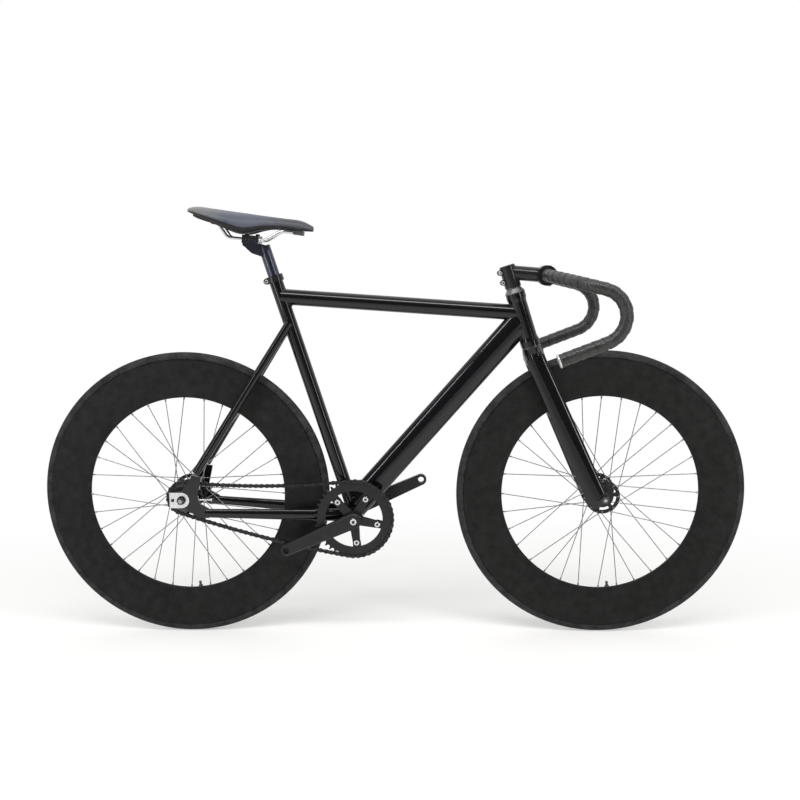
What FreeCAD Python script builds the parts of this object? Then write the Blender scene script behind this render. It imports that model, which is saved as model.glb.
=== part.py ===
"""A fixed gear bicycle with drop bars and deep rims, in millimetres.

X points forward, Y to the rider's left and Z up. The wheels stand on Z = 0 and
X = 0 lies half way between the axles. The chain side is at negative Y.
"""
import FreeCAD, Part
import math
import os
import Sketcher

Vector = FreeCAD.Vector
X_AXIS = Vector(1, 0, 0)
Y_AXIS = Vector(0, 1, 0)
Z_AXIS = Vector(0, 0, 1)
SIDES = (("left", 1), ("right", -1))

# Driving dimensions, one named value each
DIMENSIONS = {
    # layout
    "wheelbase": 964, "bottom_bracket_drop": 50, "head_angle": 72.6, "seat_angle": 72.3,
    "fork_rake": 53.5, "fork_length": 374, "overrun": 5, "running_gap": 0.05, "fit_gap": 0.2,
    # chain and sprockets
    "chain_pitch": 12.7, "chain_links": 94, "ring_teeth": 44, "cog_teeth": 18,
    "chain_slack_radius": 2800, "chain_sag_radius": 1900, "chain_line": 44,
    "roller_radius": 3.87, "seat_clearance": 0.13,
    "tooth_height": 2.9, "tooth_tip": 2.4, "tooth_lean": 30, "plate_dip": 50,
    "ring_thickness": 3, "cog_thickness": 3,
    "plate_thickness": 1.1, "plate_radius": 4.3, "plate_waist": 3.1, "inner_width": 3.3,
    "plate_gap": 0.15, "pin_radius": 1.8, "pin_overhang": 0.5,
    # tyres and rims
    "tyre_radius": 334, "tyre_section": 10.5, "tyre_wall": 2, "bead_half_width": 7.6,
    "bead_width": 2.2, "bead_seat_radius": 311, "tube_wall": 0.9, "tube_gap": 0.4,
    "rim_edge_radius": 316.6, "rim_inner_radius": 228, "rim_half_width": 11, "rim_wall": 1.3,
    "rim_flange": 2.7, "rim_track": 14, "rim_side_bulge": 220, "rim_nose_half_width": 4.6,
    "rim_nose_depth": 4.4, "rim_well": 4, "spoke_bed": 2.4,
    "valve_radius": 3, "valve_reach": 13, "valve_nut_radius": 5, "valve_nut_height": 3,
    # spokes and hubs
    "spokes_per_flange": 16, "spoke_radius": 1, "spoke_crosses": 2, "spoke_head_radius": 1.9,
    "spoke_head_height": 1, "spoke_bend": 2.5, "spoke_lift": 1.4, 
    "nipple_radius": 1.9, "nipple_length": 12, "nipple_head_radius": 3, "nipple_head_height": 2.5,
    "flange_radius": 40, "flange_thickness": 3,
    "flange_hole_circle": 36, "front_flange_y": 34, "rear_flange_y": 31, "hub_barrel_radius": 13.5,
    "hub_end_radius": 17, "front_hub_half": 44, "rear_hub_half": 53, "bearing_radius": 13,
    "bearing_width": 8, "flange_slots": 6, "slot_inner_radius": 25.5, "slot_outer_radius": 32,
    "slot_angle": 42, "lockring_radius": 20.5, "lockring_width": 4,
    # axles
    "front_axle_radius": 4.5, "rear_axle_radius": 5, "front_drop_y": 50, "rear_drop_y": 60,
    "axle_collar_radius": 8.5, "axle_collar_gap": 0.4, "axle_stub": 3, "axle_end_step": 0.6,
    "axle_relief": 0.8,
    "nut_radius": 9, "nut_height": 8, "washer_radius": 10, "washer_height": 1.5,
    # frame tubes
    "seat_tube_radius": 15.9, "seat_tube_wall": 2.1, "seat_tube_length": 585,
    "top_tube_radius": 18, "top_tube_wall": 1.6, "top_tube_rear_drop": 49.7, "top_tube_front_drop": 46.6,
    "down_tube_height": 60, "down_tube_width": 38, "down_tube_wall": 1.6, "down_tube_front_drop": 60.2,
    "down_tube_lift": 12.7, "down_tube_start": 11,
    "shell_radius": 20.5, "shell_bore": 17.2, "shell_half_width": 34,
    "head_tube_length": 124.5, "head_tube_radius": 20.2, "head_end_radius": 22.6,
    "head_collar": 12, "head_cone": 8, "head_bore": 17.6, "head_bearing_radius": 19.6,
    "head_bearing_height": 7, "head_gap": 0.5,
    "gusset_length": 24, "gusset_drop": 22, "gusset_thickness": 6,
    # rear triangle
    "dropout_thickness": 6, "chain_stay_height": 30, "chain_stay_width": 18,
    "chain_stay_end_height": 20, "chain_stay_end_width": 14, "chain_stay_y": 22,
    "chain_stay_front": 12, "chain_stay_lift": 3, "chain_stay_end_x": 52, "chain_stay_end_drop": 31,
    "stay_wall": 1.5, "stay_cap": 20,
    "seat_stay_radius": 9.2, "seat_stay_y": 13, "seat_stay_drop": 111.6, "seat_stay_end_x": 34,
    "seat_stay_end_rise": 62, "bridge_radius": 6.5, "seat_bridge_run": 121, "chain_bridge_x": 36,
    "dropout_front": 62, "dropout_slot_front": 12,
    "dropout_top": 58, "dropout_bottom": 42, "adjuster_radius": 2,
    "adjuster_head_radius": 3.6, "adjuster_head_length": 3,
    "tug_front_radius": 18, "tug_rear": 27, "tug_thickness": 2, "tug_slot": 7,
    # seat
    "post_radius": 13.6, "post_wall": 2.2, "post_insert": 140, "post_exposed": 70,
    "post_head_length": 46, "post_head_depth": 22, "post_head_width": 26,
    "collar_wall": 3.6, "collar_height": 15, "collar_ear": 9, "collar_ear_width": 16,
    "collar_slot": 2, "collar_bolt_radius": 2.5, "collar_bolt_head": 4.5, "collar_bolt_cap": 4,
    "clamp_setback": 47.9, "clamp_rise": 81, "clamp_length": 37, "clamp_width": 58, "clamp_height": 9,
    "clamp_bolt_radius": 3, "clamp_bolt_head": 5, "clamp_bolt_cap": 4,
    "clamp_gap": 0.5, "rail_tilt": 6, "rail_radius": 3.5, "rail_y": 22, "rail_bend": 16,
    "rail_back": 52, "rail_ahead": 30, "socket_length": 23, "socket_height": 10, "rear_socket_width": 17,
    "nose_socket_width": 27,
    "saddle_length": 284, "saddle_width": 140, "saddle_depth": 42, "saddle_behind": 138.5,
    "saddle_above": 76.2, "saddle_tilt": 8.7, "saddle_shell": 3.5,
    # steering
    "race_height": 4.5, "race_radius": 21.5, "steerer_radius": 14.3, "steerer_wall": 2.2,
    "cover_height": 11.5, "cover_top_radius": 16, "cover_edge": 2, "spacer_height": 2, "spacer_radius": 17,
    "stem_height": 48.5, "stem_clamp_radius": 18.5, "stem_radius": 16.4, "stem_drop": 13,
    "stem_bolt_radius": 2.5, "stem_bolt_head": 4.3, "stem_bolt_cap": 4.5, "stem_boss_radius": 6.2,
    "stem_boss_offset": 20, "stem_bolt_spacing": 23, "stem_bolt_lift": 4, "top_cap_radius": 17.5,
    "top_cap_height": 3, "bar_ahead": 88.3, "bar_below": 20, "bar_clamp_radius": 23,
    "bar_clamp_width": 44, "bar_sleeve": 15.9,
    "bar_sleeve_width": 60, "face_gap": 2, "face_bolt_y": 15, "face_bolt_z": 19.4,
    "crown_depth": 34, "crown_length": 49, "crown_width": 84, "crown_top_radius": 22.2,
    "crown_shoulder": 12, "crown_shoulder_width": 70, "steerer_recess": 2,
    "blade_top_chord": 44, "blade_top_width": 19, "blade_top_y": 33, "blade_chord": 48,
    "blade_width": 13, "blade_tip_chord": 32, "blade_tip_width": 9, "blade_tip": 15, "blade_wall": 2,
    "blade_boss": 13, "blade_setback": 15, "crown_overlap": 14, "fork_end_thickness": 12,
    # handlebar
    "bar_radius": 11.9, "bar_wall": 2, "bar_flat": 75, "bar_flat_bend": 140, "bar_reach": 62,
    "bar_half_width": 190, "bar_shoulder_drop": 16, "bar_shoulder_bend": 58, "bar_ramp": 0.25,
    "bar_hook_x": 280, "bar_hook_bend": 58.6, "bar_end_x": 6.6, "bar_drop": 174.7,
    "tape_radius": 14.6, "tape_lap": 0.8, "tape_gap": 0.5, "tape_pitch": 21, "plug_height": 3,
    "plug_depth": 12, "plug_gap": 0.1,
    # cranks
    "crank_length": 170, "crank_angle": 204, "crank_y": 55, "crank_thickness": 13, "crank_bevel": 3,
    "crank_hub_radius": 18, "crank_eye_radius": 13, "pedal_bore_radius": 7.14,
    "bolt_circle_radius": 55, "spider_arms": 5, "spider_width": 17, "spider_root": 24,
    "spider_thickness": 5, "spider_tip_radius": 9, "ring_inner_radius": 66, "ring_tab_width": 19,
    "ring_bolt_radius": 5, "ring_bolt_head": 6.4, "ring_bolt_cap": 1.6,
    "spindle_radius": 8.5, "spindle_square": 12.7, "cup_lip": 2, "cup_depth": 14, "cup_lip_radius": 19,
    "crank_bolt_radius": 4, "crank_bolt_head": 7.5, "crank_bolt_cap": 4, "crank_bolt_length": 14,
}

doc = FreeCAD.newDocument("FixedGearBicycle")
sheet = doc.addObject("Spreadsheet::Sheet", "Sizes")
NODES = []


class Size:
    """A number together with the sheet formula that gives it."""

    def __init__(self, value, formula):
        self.value = value
        self.formula = formula

    def __float__(self):
        return float(self.value)

    def __add__(self, other):
        return Size(self.value + float(other), "(%s + %s)" % (self.formula, formula(other)))

    def __sub__(self, other):
        return Size(self.value - float(other), "(%s - %s)" % (self.formula, formula(other)))

    def __mul__(self, other):
        return Size(self.value * float(other), "(%s * %s)" % (self.formula, formula(other)))

    def __truediv__(self, other):
        return Size(self.value / float(other), "(%s / %s)" % (self.formula, formula(other)))

    def __neg__(self):
        return Size(-self.value, "(-1 * %s)" % self.formula)

    def __radd__(self, other):
        return self + other

    def __rsub__(self, other):
        return -self + other

    def __rmul__(self, other):
        return self * other


def formula(number):
    """The sheet formula of a size, or a plain number as text."""
    if isinstance(number, Size):
        return number.formula
    return repr(float(number))


class Sheet:
    """The sheet's named values, as sizes."""

    def __init__(self):
        self.rows = 0

    def put(self, name, value):
        self.rows += 1
        sheet.set("A%d" % self.rows, name)
        sheet.set("B%d" % self.rows, repr(value))
        sheet.setAlias("B%d" % self.rows, name)
        setattr(self, name, Size(value, "Sizes." + name))
        return getattr(self, name)


S = Sheet()
for dimension, number in DIMENSIONS.items():
    S.put(dimension, number)


# Building blocks

def node(piece, label):
    """Keep a finished piece under the name of its file."""
    piece.Label = label
    if piece.Label != label:
        raise ValueError("the name %s is taken" % label)
    NODES.append(piece)
    return piece


def bind(piece, **sizes):
    """Tie a piece's properties to the sheet."""
    for name, value in sizes.items():
        piece.setExpression(name, formula(value))
    return piece


def along(start, direction):
    """A placement whose Z axis points along a direction."""
    return FreeCAD.Placement(start, FreeCAD.Rotation(Z_AXIS, direction))


def cylinder(name, radius, length, start, direction):
    """A round bar from a point along a direction."""
    bar = doc.addObject("Part::Cylinder", name)
    bind(bar, Radius=radius, Height=length)
    bar.Placement = along(start, direction)
    return bar


def box(name, length, width, height, centre, rotation=FreeCAD.Rotation()):
    """A block centred on a point."""
    block = doc.addObject("Part::Box", name)
    bind(block, Length=length, Width=width, Height=height)
    corner = Vector(float(length) / -2, float(width) / -2, float(height) / -2)
    block.Placement = FreeCAD.Placement(centre + rotation.multVec(corner), rotation)
    return block


def cut(name, base, *tools):
    """A piece with other pieces taken away from it."""
    for number, tool in enumerate(tools):
        result = doc.addObject("Part::Cut", "%s_cut_%d" % (name, number))
        result.Base = base
        result.Tool = tool
        base = result
    return base


def fuse(name, *pieces):
    """One solid made of several."""
    result = doc.addObject("Part::MultiFuse", name)
    result.Shapes = list(pieces)
    return result


def group(name, *pieces):
    """Separate solids kept in one piece."""
    result = doc.addObject("Part::Compound", name)
    result.Links = list(pieces)
    return result


def feature(name, shape):
    """A piece whose shape is worked out here."""
    piece = doc.addObject("Part::Feature", name)
    piece.Shape = shape
    return piece


def draw(body, role, corners):
    """A closed outline: each corner is (x, y), or (x, y, radius) where the side that leaves it
    is an arc, bulging to the right of its run for a positive radius."""
    sketch = body.newObject("Sketcher::SketchObject", body.Name + "_outline")
    plane = [feature for feature in body.Origin.OriginFeatures if feature.Role == role][0]
    sketch.AttachmentSupport = [(plane, "")]
    sketch.MapMode = "FlatFace"
    points = [Vector(float(corner[0]), float(corner[1]), 0) for corner in corners]
    sides = []
    for number, corner in enumerate(corners):
        start = points[number]
        end = points[(number + 1) % len(points)]
        if len(corner) == 2:
            sides.append((sketch.addGeometry(Part.LineSegment(start, end)), 1))
            continue
        chord = end - start
        radius = abs(float(corner[2]))
        rise = radius - math.sqrt(max(radius ** 2 - chord.Length ** 2 / 4, 0))
        outward = Vector(chord.y, -chord.x, 0).normalize()
        outward.multiply(math.copysign(rise, float(corner[2])))
        side = sketch.addGeometry(Part.Arc(start, (start + end) / 2 + outward, end))
        first = sketch.Geometry[side].StartPoint
        sides.append((side, 1 if (first - start).Length < (first - end).Length else 2))
        bend = corner[2] if float(corner[2]) > 0 else -corner[2]
        rule = sketch.addConstraint(Sketcher.Constraint("Radius", side, radius))
        sketch.setExpression("Constraints[%d]" % rule, formula(bend))
    for number, (side, first) in enumerate(sides):
        before, before_first = sides[number - 1]
        sketch.addConstraint(Sketcher.Constraint("Coincident", before, 3 - before_first, side, first))
        for kind, value, axis in zip(("DistanceX", "DistanceY"), corners[number], (-2, -1)):
            if not isinstance(value, Size):
                sketch.addConstraint(Sketcher.Constraint("PointOnObject", side, first, axis))
                continue
            rule = sketch.addConstraint(Sketcher.Constraint(kind, side, first, float(value)))
            sketch.setExpression("Constraints[%d]" % rule, formula(value))
    return sketch


def turned(name, corners, role="XZ_Plane"):
    """A solid of revolution: (radius, height) corners about Z, or about Y on the XY plane."""
    body = doc.addObject("PartDesign::Body", name)
    sketch = draw(body, role, corners)
    turn = body.newObject("PartDesign::Revolution", name + "_turn")
    turn.Profile = sketch
    turn.ReferenceAxis = (sketch, ["V_Axis"])
    turn.Angle = 360
    return body


def plate(name, corners, thickness):
    """A flat outline in X and Z, as thick as given towards negative Y."""
    body = doc.addObject("PartDesign::Body", name)
    sketch = draw(body, "XZ_Plane", corners)
    pad = body.newObject("PartDesign::Pad", name + "_pad")
    pad.Profile = sketch
    bind(pad, Length=thickness)
    return body


def bevel(body, y, size):
    """Cut back the edges that lie in one face of a plate."""
    doc.recompute()
    pad = body.Tip
    names = []
    for number, edge in enumerate(pad.Shape.Edges):
        if all(abs(corner.Y - y) < float(S.running_gap) for corner in edge.Vertexes):
            names.append("Edge%d" % (number + 1))
    edges = body.newObject("PartDesign::Chamfer", body.Name + "_bevel")
    edges.Base = (pad, names)
    bind(edges, Size=size)


def ring(outer, inner, low, high):
    """Corners of a plain ring, to be turned."""
    return [(inner, low), (outer, low), (outer, high), (inner, high)]


def moved(piece, base, rotation=FreeCAD.Rotation()):
    """Put a piece in its place."""
    piece.Placement = FreeCAD.Placement(base, rotation)
    return piece


def rounded(points, radii):
    """A wire of straight runs with an arc of its own radius at each inner point."""
    edges = []
    last = points[0]
    for before, corner, after, radius in zip(points, points[1:], points[2:], radii):
        back = (before - corner).normalize()
        ahead = (after - corner).normalize()
        half = back.getAngle(ahead) / 2
        reach = float(radius) / math.tan(half)
        start = corner + back * reach
        end = corner + ahead * reach
        to_arc = float(radius) / math.sin(half) - float(radius)
        middle = corner + (back + ahead).normalize() * to_arc
        edges.append(Part.LineSegment(last, start).toShape())
        edges.append(Part.Arc(start, middle, end).toShape())
        last = end
    edges.append(Part.LineSegment(last, points[-1]).toShape())
    return Part.Wire(edges)


def pipe(wire, radius):
    """A round bar swept along a wire."""
    first = wire.Edges[0]
    start = first.valueAt(first.FirstParameter)
    heading = first.tangentAt(first.FirstParameter)
    profile = Part.Wire(Part.makeCircle(float(radius), start, heading))
    return wire.makePipeShell([profile], True, False)


def oval(centre, normal, across, half_across, half_along):
    """An ellipse about a point: half_across lies along the across direction."""
    major = across * float(half_across)
    minor = normal.cross(across).normalize() * float(half_along)
    if major.Length < minor.Length:
        major, minor = minor, major
    ellipse = Part.Ellipse(centre + major, centre + minor, centre)
    return Part.Wire(ellipse.toShape())


# Places that the pieces share

def heading(angle):
    """The direction at an angle above forward, in the plane of the bicycle."""
    turn = math.radians(float(angle))
    return Vector(math.cos(turn), 0, math.sin(turn))


def pitch_radius(teeth):
    """The circle that a sprocket's rollers lie on."""
    return float(S.chain_pitch) / 2 / math.sin(math.pi / float(teeth))


class ChainLoop:
    """The line of the chain about a cog at the origin and a ring at (distance, 0)."""

    def __init__(self, distance):
        self.cog = pitch_radius(S.cog_teeth)
        self.ring = pitch_radius(S.ring_teeth)
        self.sag = float(S.chain_sag_radius)
        self.slack = float(S.chain_slack_radius)
        self.distance = distance
        self.sag_centre = self.above(self.sag + self.cog, self.sag + self.ring)
        self.slack_centre = self.above(self.slack - self.cog, self.slack - self.ring)
        x, y = self.sag_centre
        self.cog_join = math.atan2(y, x)
        self.ring_join = math.atan2(y, x - distance)
        x, y = self.slack_centre
        self.cog_leave = math.atan2(-y, -x)
        self.ring_leave = math.atan2(-y, distance - x)
        self.spans = [
            self.sag * (self.ring_join - self.cog_join),
            self.ring * (self.ring_join - self.ring_leave),
            self.slack * (self.ring_leave - self.cog_leave),
            self.cog * (self.cog_leave + 2 * math.pi - self.cog_join),
        ]
        self.length = sum(self.spans)

    def above(self, from_cog, from_ring):
        """The point above the loop at given distances from the two axles."""
        x = (from_cog ** 2 - from_ring ** 2 + self.distance ** 2) / (2 * self.distance)
        return x, math.sqrt(from_cog ** 2 - x ** 2)

    def point(self, run):
        """The place a run along the loop from where it leaves the top of the cog."""
        run %= self.length
        sides = (
            (self.sag_centre, self.sag, self.cog_join - math.pi, 1),
            ((self.distance, 0), self.ring, self.ring_join, -1),
            (self.slack_centre, self.slack, self.ring_leave, -1),
            ((0, 0), self.cog, self.cog_leave, -1))
        for span, (centre, radius, start, way) in zip(self.spans, sides):
            if run < span:
                break
            run -= span
        turn = start + way * run / radius
        return centre[0] + radius * math.cos(turn), centre[1] + radius * math.sin(turn)

    def rollers(self):
        """Each roller's place, a pitch apart, and the run that the last link ends at."""
        run = self.spans[0]
        places = []
        for _ in range(int(float(S.chain_links))):
            x, y = self.point(run)
            places.append((x, y))
            after = run + float(S.chain_pitch)
            for _ in range(8):
                far_x, far_y = self.point(after)
                after += float(S.chain_pitch) - math.hypot(far_x - x, far_y - y)
            run = after
        return places, run - self.spans[0] - self.length


# Shares of the first guess at the axles' distance that the search runs between
SEARCH_SHARES = (0.8, 1.2)


def closed_loop():
    """The loop whose last link meets its first."""
    guess = float(S.chain_pitch) * (float(S.chain_links) - float(S.ring_teeth + S.cog_teeth) / 2) / 2
    near, far = [guess * share for share in SEARCH_SHARES]
    for _ in range(50):
        middle = (near + far) / 2
        if ChainLoop(middle).rollers()[1] > 0:
            near = middle
        else:
            far = middle
    return ChainLoop(near)


LOOP = closed_loop()
HALF_BASE = S.wheelbase / 2
REAR_AXLE = Vector(-float(HALF_BASE), 0, float(S.tyre_radius))
FRONT_AXLE = Vector(float(HALF_BASE), 0, float(S.tyre_radius))
STAY_RUN = math.sqrt(LOOP.distance ** 2 - float(S.bottom_bracket_drop) ** 2)
BRACKET = REAR_AXLE + Vector(STAY_RUN, 0, -float(S.bottom_bracket_drop))

STEER_UP = heading(180 - float(S.head_angle))
STEER_AHEAD = heading(90 - float(S.head_angle))
STEER_TURN = FreeCAD.Rotation(Z_AXIS, STEER_UP)
STEER_FOOT = FRONT_AXLE - STEER_AHEAD * float(S.fork_rake)
SEAT_UP = heading(180 - float(S.seat_angle))
SEAT_TURN = FreeCAD.Rotation(Z_AXIS, SEAT_UP)


def steer(height):
    """A point on the steering axis, so far up from the foot beside the front axle."""
    return STEER_FOOT + STEER_UP * float(height)


def seat(drop):
    """A point on the seat tube's axis, so far below its top."""
    return SEAT_TOP - SEAT_UP * float(drop)


HEAD_LOW = S.fork_length + S.race_height + S.head_gap
HEAD_TOP = HEAD_LOW + S.head_tube_length
COVER_LOW = HEAD_TOP + S.head_gap
SPACER_LOW = COVER_LOW + S.cover_height
STEM_LOW = SPACER_LOW + S.spacer_height
STEM_TOP = STEM_LOW + S.stem_height
BAR = steer(STEM_TOP) + Vector(float(S.bar_ahead), 0, -float(S.bar_below))
SEAT_TOP = BRACKET + SEAT_UP * float(S.seat_tube_length)
CLAMP = SEAT_TOP + Vector(-float(S.clamp_setback), 0, float(S.clamp_rise))
SADDLE_TAIL = CLAMP + Vector(-float(S.saddle_behind), 0, float(S.saddle_above))


# Frame tubes

def tube(name, radius, wall, start, end):
    """An outer bar and its bore between two points, both reaching a little past the bore's ends."""
    length = S.put(name + "_run", (end - start).Length)
    direction = (end - start).normalize()
    outer = cylinder(name + "_outer", radius, length, start, direction)
    begin = start - direction * float(S.overrun)
    bore = cylinder(name + "_bore", radius - wall, length + S.overrun * 2, begin, direction)
    return outer, bore


def oval_bar(name, half_height, half_width, start, end):
    """A straight bar of oval section, its height in the plane of the bicycle."""
    outline = doc.addObject("Part::Ellipse", name + "_outline")
    bind(outline, MajorRadius=half_height, MinorRadius=half_width)
    outline.Placement = along(start, end - start)
    bar = doc.addObject("Part::Extrusion", name)
    bar.Base = outline
    bar.DirMode = "Normal"
    bar.Solid = True
    bind(bar, LengthFwd=S.put(name + "_run", (end - start).Length))
    return bar


def head_tube():
    """The waisted head tube with a bearing seat at each end."""
    top = S.head_tube_length
    low = S.head_collar
    waist = S.head_collar + S.head_cone
    blank = turned("head_blank", [
        (0, 0), (S.head_end_radius, 0), (S.head_end_radius, low), (S.head_tube_radius, waist),
        (S.head_tube_radius, top - waist), (S.head_end_radius, top - low), (S.head_end_radius, top),
        (0, top)])
    moved(blank, steer(HEAD_LOW), STEER_TURN)
    bore = cylinder("head_bore", S.head_bore, top + S.overrun * 2, steer(HEAD_LOW - S.overrun), STEER_UP)
    depth = S.head_bearing_height + S.overrun
    low_seat = cylinder("head_low_seat", S.head_bearing_radius, depth,
                        steer(HEAD_LOW - S.overrun), STEER_UP)
    top_seat = cylinder("head_top_seat", S.head_bearing_radius, depth,
                        steer(HEAD_TOP - S.head_bearing_height), STEER_UP)
    node(cut("head_tube", blank, bore, low_seat, top_seat), "head_tube")
    bearings = []
    for name, low in (("low", HEAD_LOW), ("top", HEAD_TOP - S.head_bearing_height)):
        inner = S.steerer_radius + S.running_gap
        bearing = turned("head_bearing_" + name, ring(S.head_bearing_radius, inner, 0, S.head_bearing_height))
        bearings.append(moved(bearing, steer(low), STEER_TURN))
    node(group("head_bearings", *bearings), "headset_bearings")
    return blank


def main_triangle(head_blank):
    """The bottom bracket shell and the seat, down and top tubes, each mitred to its neighbours."""
    shell_start = BRACKET - Y_AXIS * float(S.shell_half_width)
    shell_outer = cylinder("shell_outer", S.shell_radius, S.shell_half_width * 2, shell_start, Y_AXIS)
    shell_bore = cylinder("shell_bore", S.shell_bore, (S.shell_half_width + S.overrun) * 2,
                          shell_start - Y_AXIS * float(S.overrun), Y_AXIS)
    node(cut("shell", shell_outer, shell_bore), "bottom_bracket_shell")

    seat_outer, seat_bore = tube("seat_tube", S.seat_tube_radius, S.seat_tube_wall, BRACKET, SEAT_TOP)
    node(cut("seat_tube", seat_outer, seat_bore, shell_outer), "seat_tube")

    front = steer(HEAD_TOP - S.down_tube_front_drop)
    run = (front - BRACKET).normalize()
    low = BRACKET + Vector(-run.z, 0, run.x) * float(S.down_tube_lift)
    run = (front - low).normalize()
    start = low + run * float(S.down_tube_start)
    half_height, half_width = S.down_tube_height / 2, S.down_tube_width / 2
    down_outer = oval_bar("down_outer", half_height, half_width, start, front)
    down_bore = oval_bar("down_bore", half_height - S.down_tube_wall, half_width - S.down_tube_wall,
                         start - run * float(S.overrun), front + run * float(S.overrun))
    node(cut("down_tube", down_outer, down_bore, shell_outer, seat_outer, head_blank), "down_tube")

    rear = seat(S.top_tube_rear_drop)
    front = steer(HEAD_TOP - S.top_tube_front_drop)
    top_outer, top_bore = tube("top_tube", S.top_tube_radius, S.top_tube_wall, rear, front)
    node(cut("top_tube", top_outer, top_bore, seat_outer, head_blank, down_outer), "top_tube")

    ahead = rear + (front - rear).normalize() * float(S.seat_tube_radius + S.gusset_length)
    below = rear - SEAT_UP * float(S.top_tube_radius + S.gusset_drop)
    corners = [Vector(0, 0, 0), below - rear, ahead - rear]
    prism = Part.Face(Part.makePolygon(corners + corners[:1])).extrude(Y_AXIS * float(S.gusset_thickness))
    gusset = moved(feature("gusset_blank", prism), rear - Y_AXIS * float(S.gusset_thickness / 2))
    return shell_outer, seat_outer, cut("gusset", gusset, seat_outer, top_outer)


# Corner shares of the dropout plate: X of its front reach, Z of its top or bottom reach
DROPOUT_SHARES = ((-0.5, -0.38), (0.13, -0.45), (0.6, -1), (1, -1), (1, -0.48), (0.66, -0.2),
                  (0.6, 0.17), (0.76, 0.92), (0.42, 1), (0.03, 0.4), (-0.5, 0.28))


def dropout(name, side):
    """A rear-opening track end for one side."""
    corners = []
    for x_share, z_share in DROPOUT_SHARES:
        reach = S.dropout_top if z_share > 0 else S.dropout_bottom
        corners.append((S.dropout_front * x_share, reach * z_share))
    y = float(S.rear_drop_y) if side < 0 else float(S.rear_drop_y + S.dropout_thickness)
    outline = plate("dropout_" + name, corners, S.dropout_thickness)
    moved(outline, REAR_AXLE + Y_AXIS * (y * side))
    gap = S.rear_axle_radius + S.running_gap
    reach = S.dropout_front + S.dropout_slot_front
    middle = Vector(float(S.dropout_slot_front - reach / 2), side * float(S.rear_drop_y), 0)
    slot = box("slot_" + name, reach, S.dropout_thickness * 4, gap * 2, REAR_AXLE + middle)
    centre = REAR_AXLE + Y_AXIS * (side * float(S.rear_drop_y + S.dropout_thickness / 2))
    tapped = cylinder("adjuster_hole_" + name, S.adjuster_radius + S.running_gap, S.dropout_front,
                      centre, X_AXIS)
    piece = cut("dropout_cut_" + name, outline, slot, tapped)
    node(piece, "rear_dropout_" + name)

    start = centre + X_AXIS * float(gap)
    shank = cylinder("adjuster_" + name, S.adjuster_radius, S.dropout_front, start, X_AXIS)
    head = cylinder("adjuster_head_" + name, S.adjuster_head_radius, S.adjuster_head_length,
                    start + X_AXIS * float(S.dropout_front), X_AXIS)
    return piece, fuse("adjuster_screw_" + name, shank, head)


def rear_triangle(shell_outer, seat_outer, gusset):
    """Stays, bridges and dropouts; gives back the axle adjusters."""
    screws, stay_bars, chain_bars = [], [], []
    for name, side in SIDES:
        piece, screw = dropout(name, side)
        screws.append(screw)
        stay_y = float(S.rear_drop_y + S.dropout_thickness / 2) * side

        front = Vector(BRACKET.x - float(S.chain_stay_front), float(S.chain_stay_y) * side,
                       BRACKET.z + float(S.chain_stay_lift))
        rear = REAR_AXLE + Vector(float(S.chain_stay_end_x), stay_y, -float(S.chain_stay_end_drop))
        run = (rear - front).normalize()
        level = run.cross(Z_AXIS).normalize()
        walls = []
        for wall in (0, float(S.stay_wall)):
            first = oval(front, run, level, S.chain_stay_width / 2 - wall, S.chain_stay_height / 2 - wall)
            last = oval(rear, run, level, S.chain_stay_end_width / 2 - wall,
                        S.chain_stay_end_height / 2 - wall)
            walls.append(Part.makeLoft([first, last], True, True))
        chain_bar = feature("chain_stay_bar_" + name, walls[0])
        chain_bars.append(chain_bar)
        chain_tube = feature("chain_stay_tube_" + name, walls[0].cut(walls[1]))
        node(cut("chain_stay_" + name, chain_tube, shell_outer, seat_outer, piece), "chain_stay_" + name)

        top = seat(S.seat_stay_drop) + Y_AXIS * (float(S.seat_stay_y) * side)
        end = REAR_AXLE + Vector(float(S.seat_stay_end_x), stay_y, float(S.seat_stay_end_rise))
        stay_outer, stay_bore = tube("seat_stay_" + name, S.seat_stay_radius, S.stay_wall, top, end)
        stay_bore.Placement = along(top + (end - top).normalize() * float(S.stay_cap), end - top)
        stay_bars.append(stay_outer)
        node(cut("seat_stay_cut_" + name, stay_outer, stay_bore, seat_outer, piece), "seat_stay_" + name)

    middle = top + (end - top).normalize() * float(S.seat_bridge_run)
    reach = S.put("seat_bridge_length", abs(middle.y) * 2)
    seat_bridge = cylinder("seat_bridge", S.bridge_radius, reach,
                           Vector(middle.x, -abs(middle.y), middle.z), Y_AXIS)
    share = float(S.chain_bridge_x - S.chain_stay_front) / (front.x - rear.x)
    middle = front + (rear - front) * share
    reach = S.put("chain_bridge_length", abs(middle.y) * 2)
    chain_bridge = cylinder("chain_bridge", S.bridge_radius, reach,
                            Vector(middle.x, -abs(middle.y), middle.z), Y_AXIS)
    node(group("bridges", cut("seat_bridge_cut", seat_bridge, *stay_bars),
               cut("chain_bridge_cut", chain_bridge, *chain_bars), gusset), "frame_bridges")
    return screws


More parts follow.
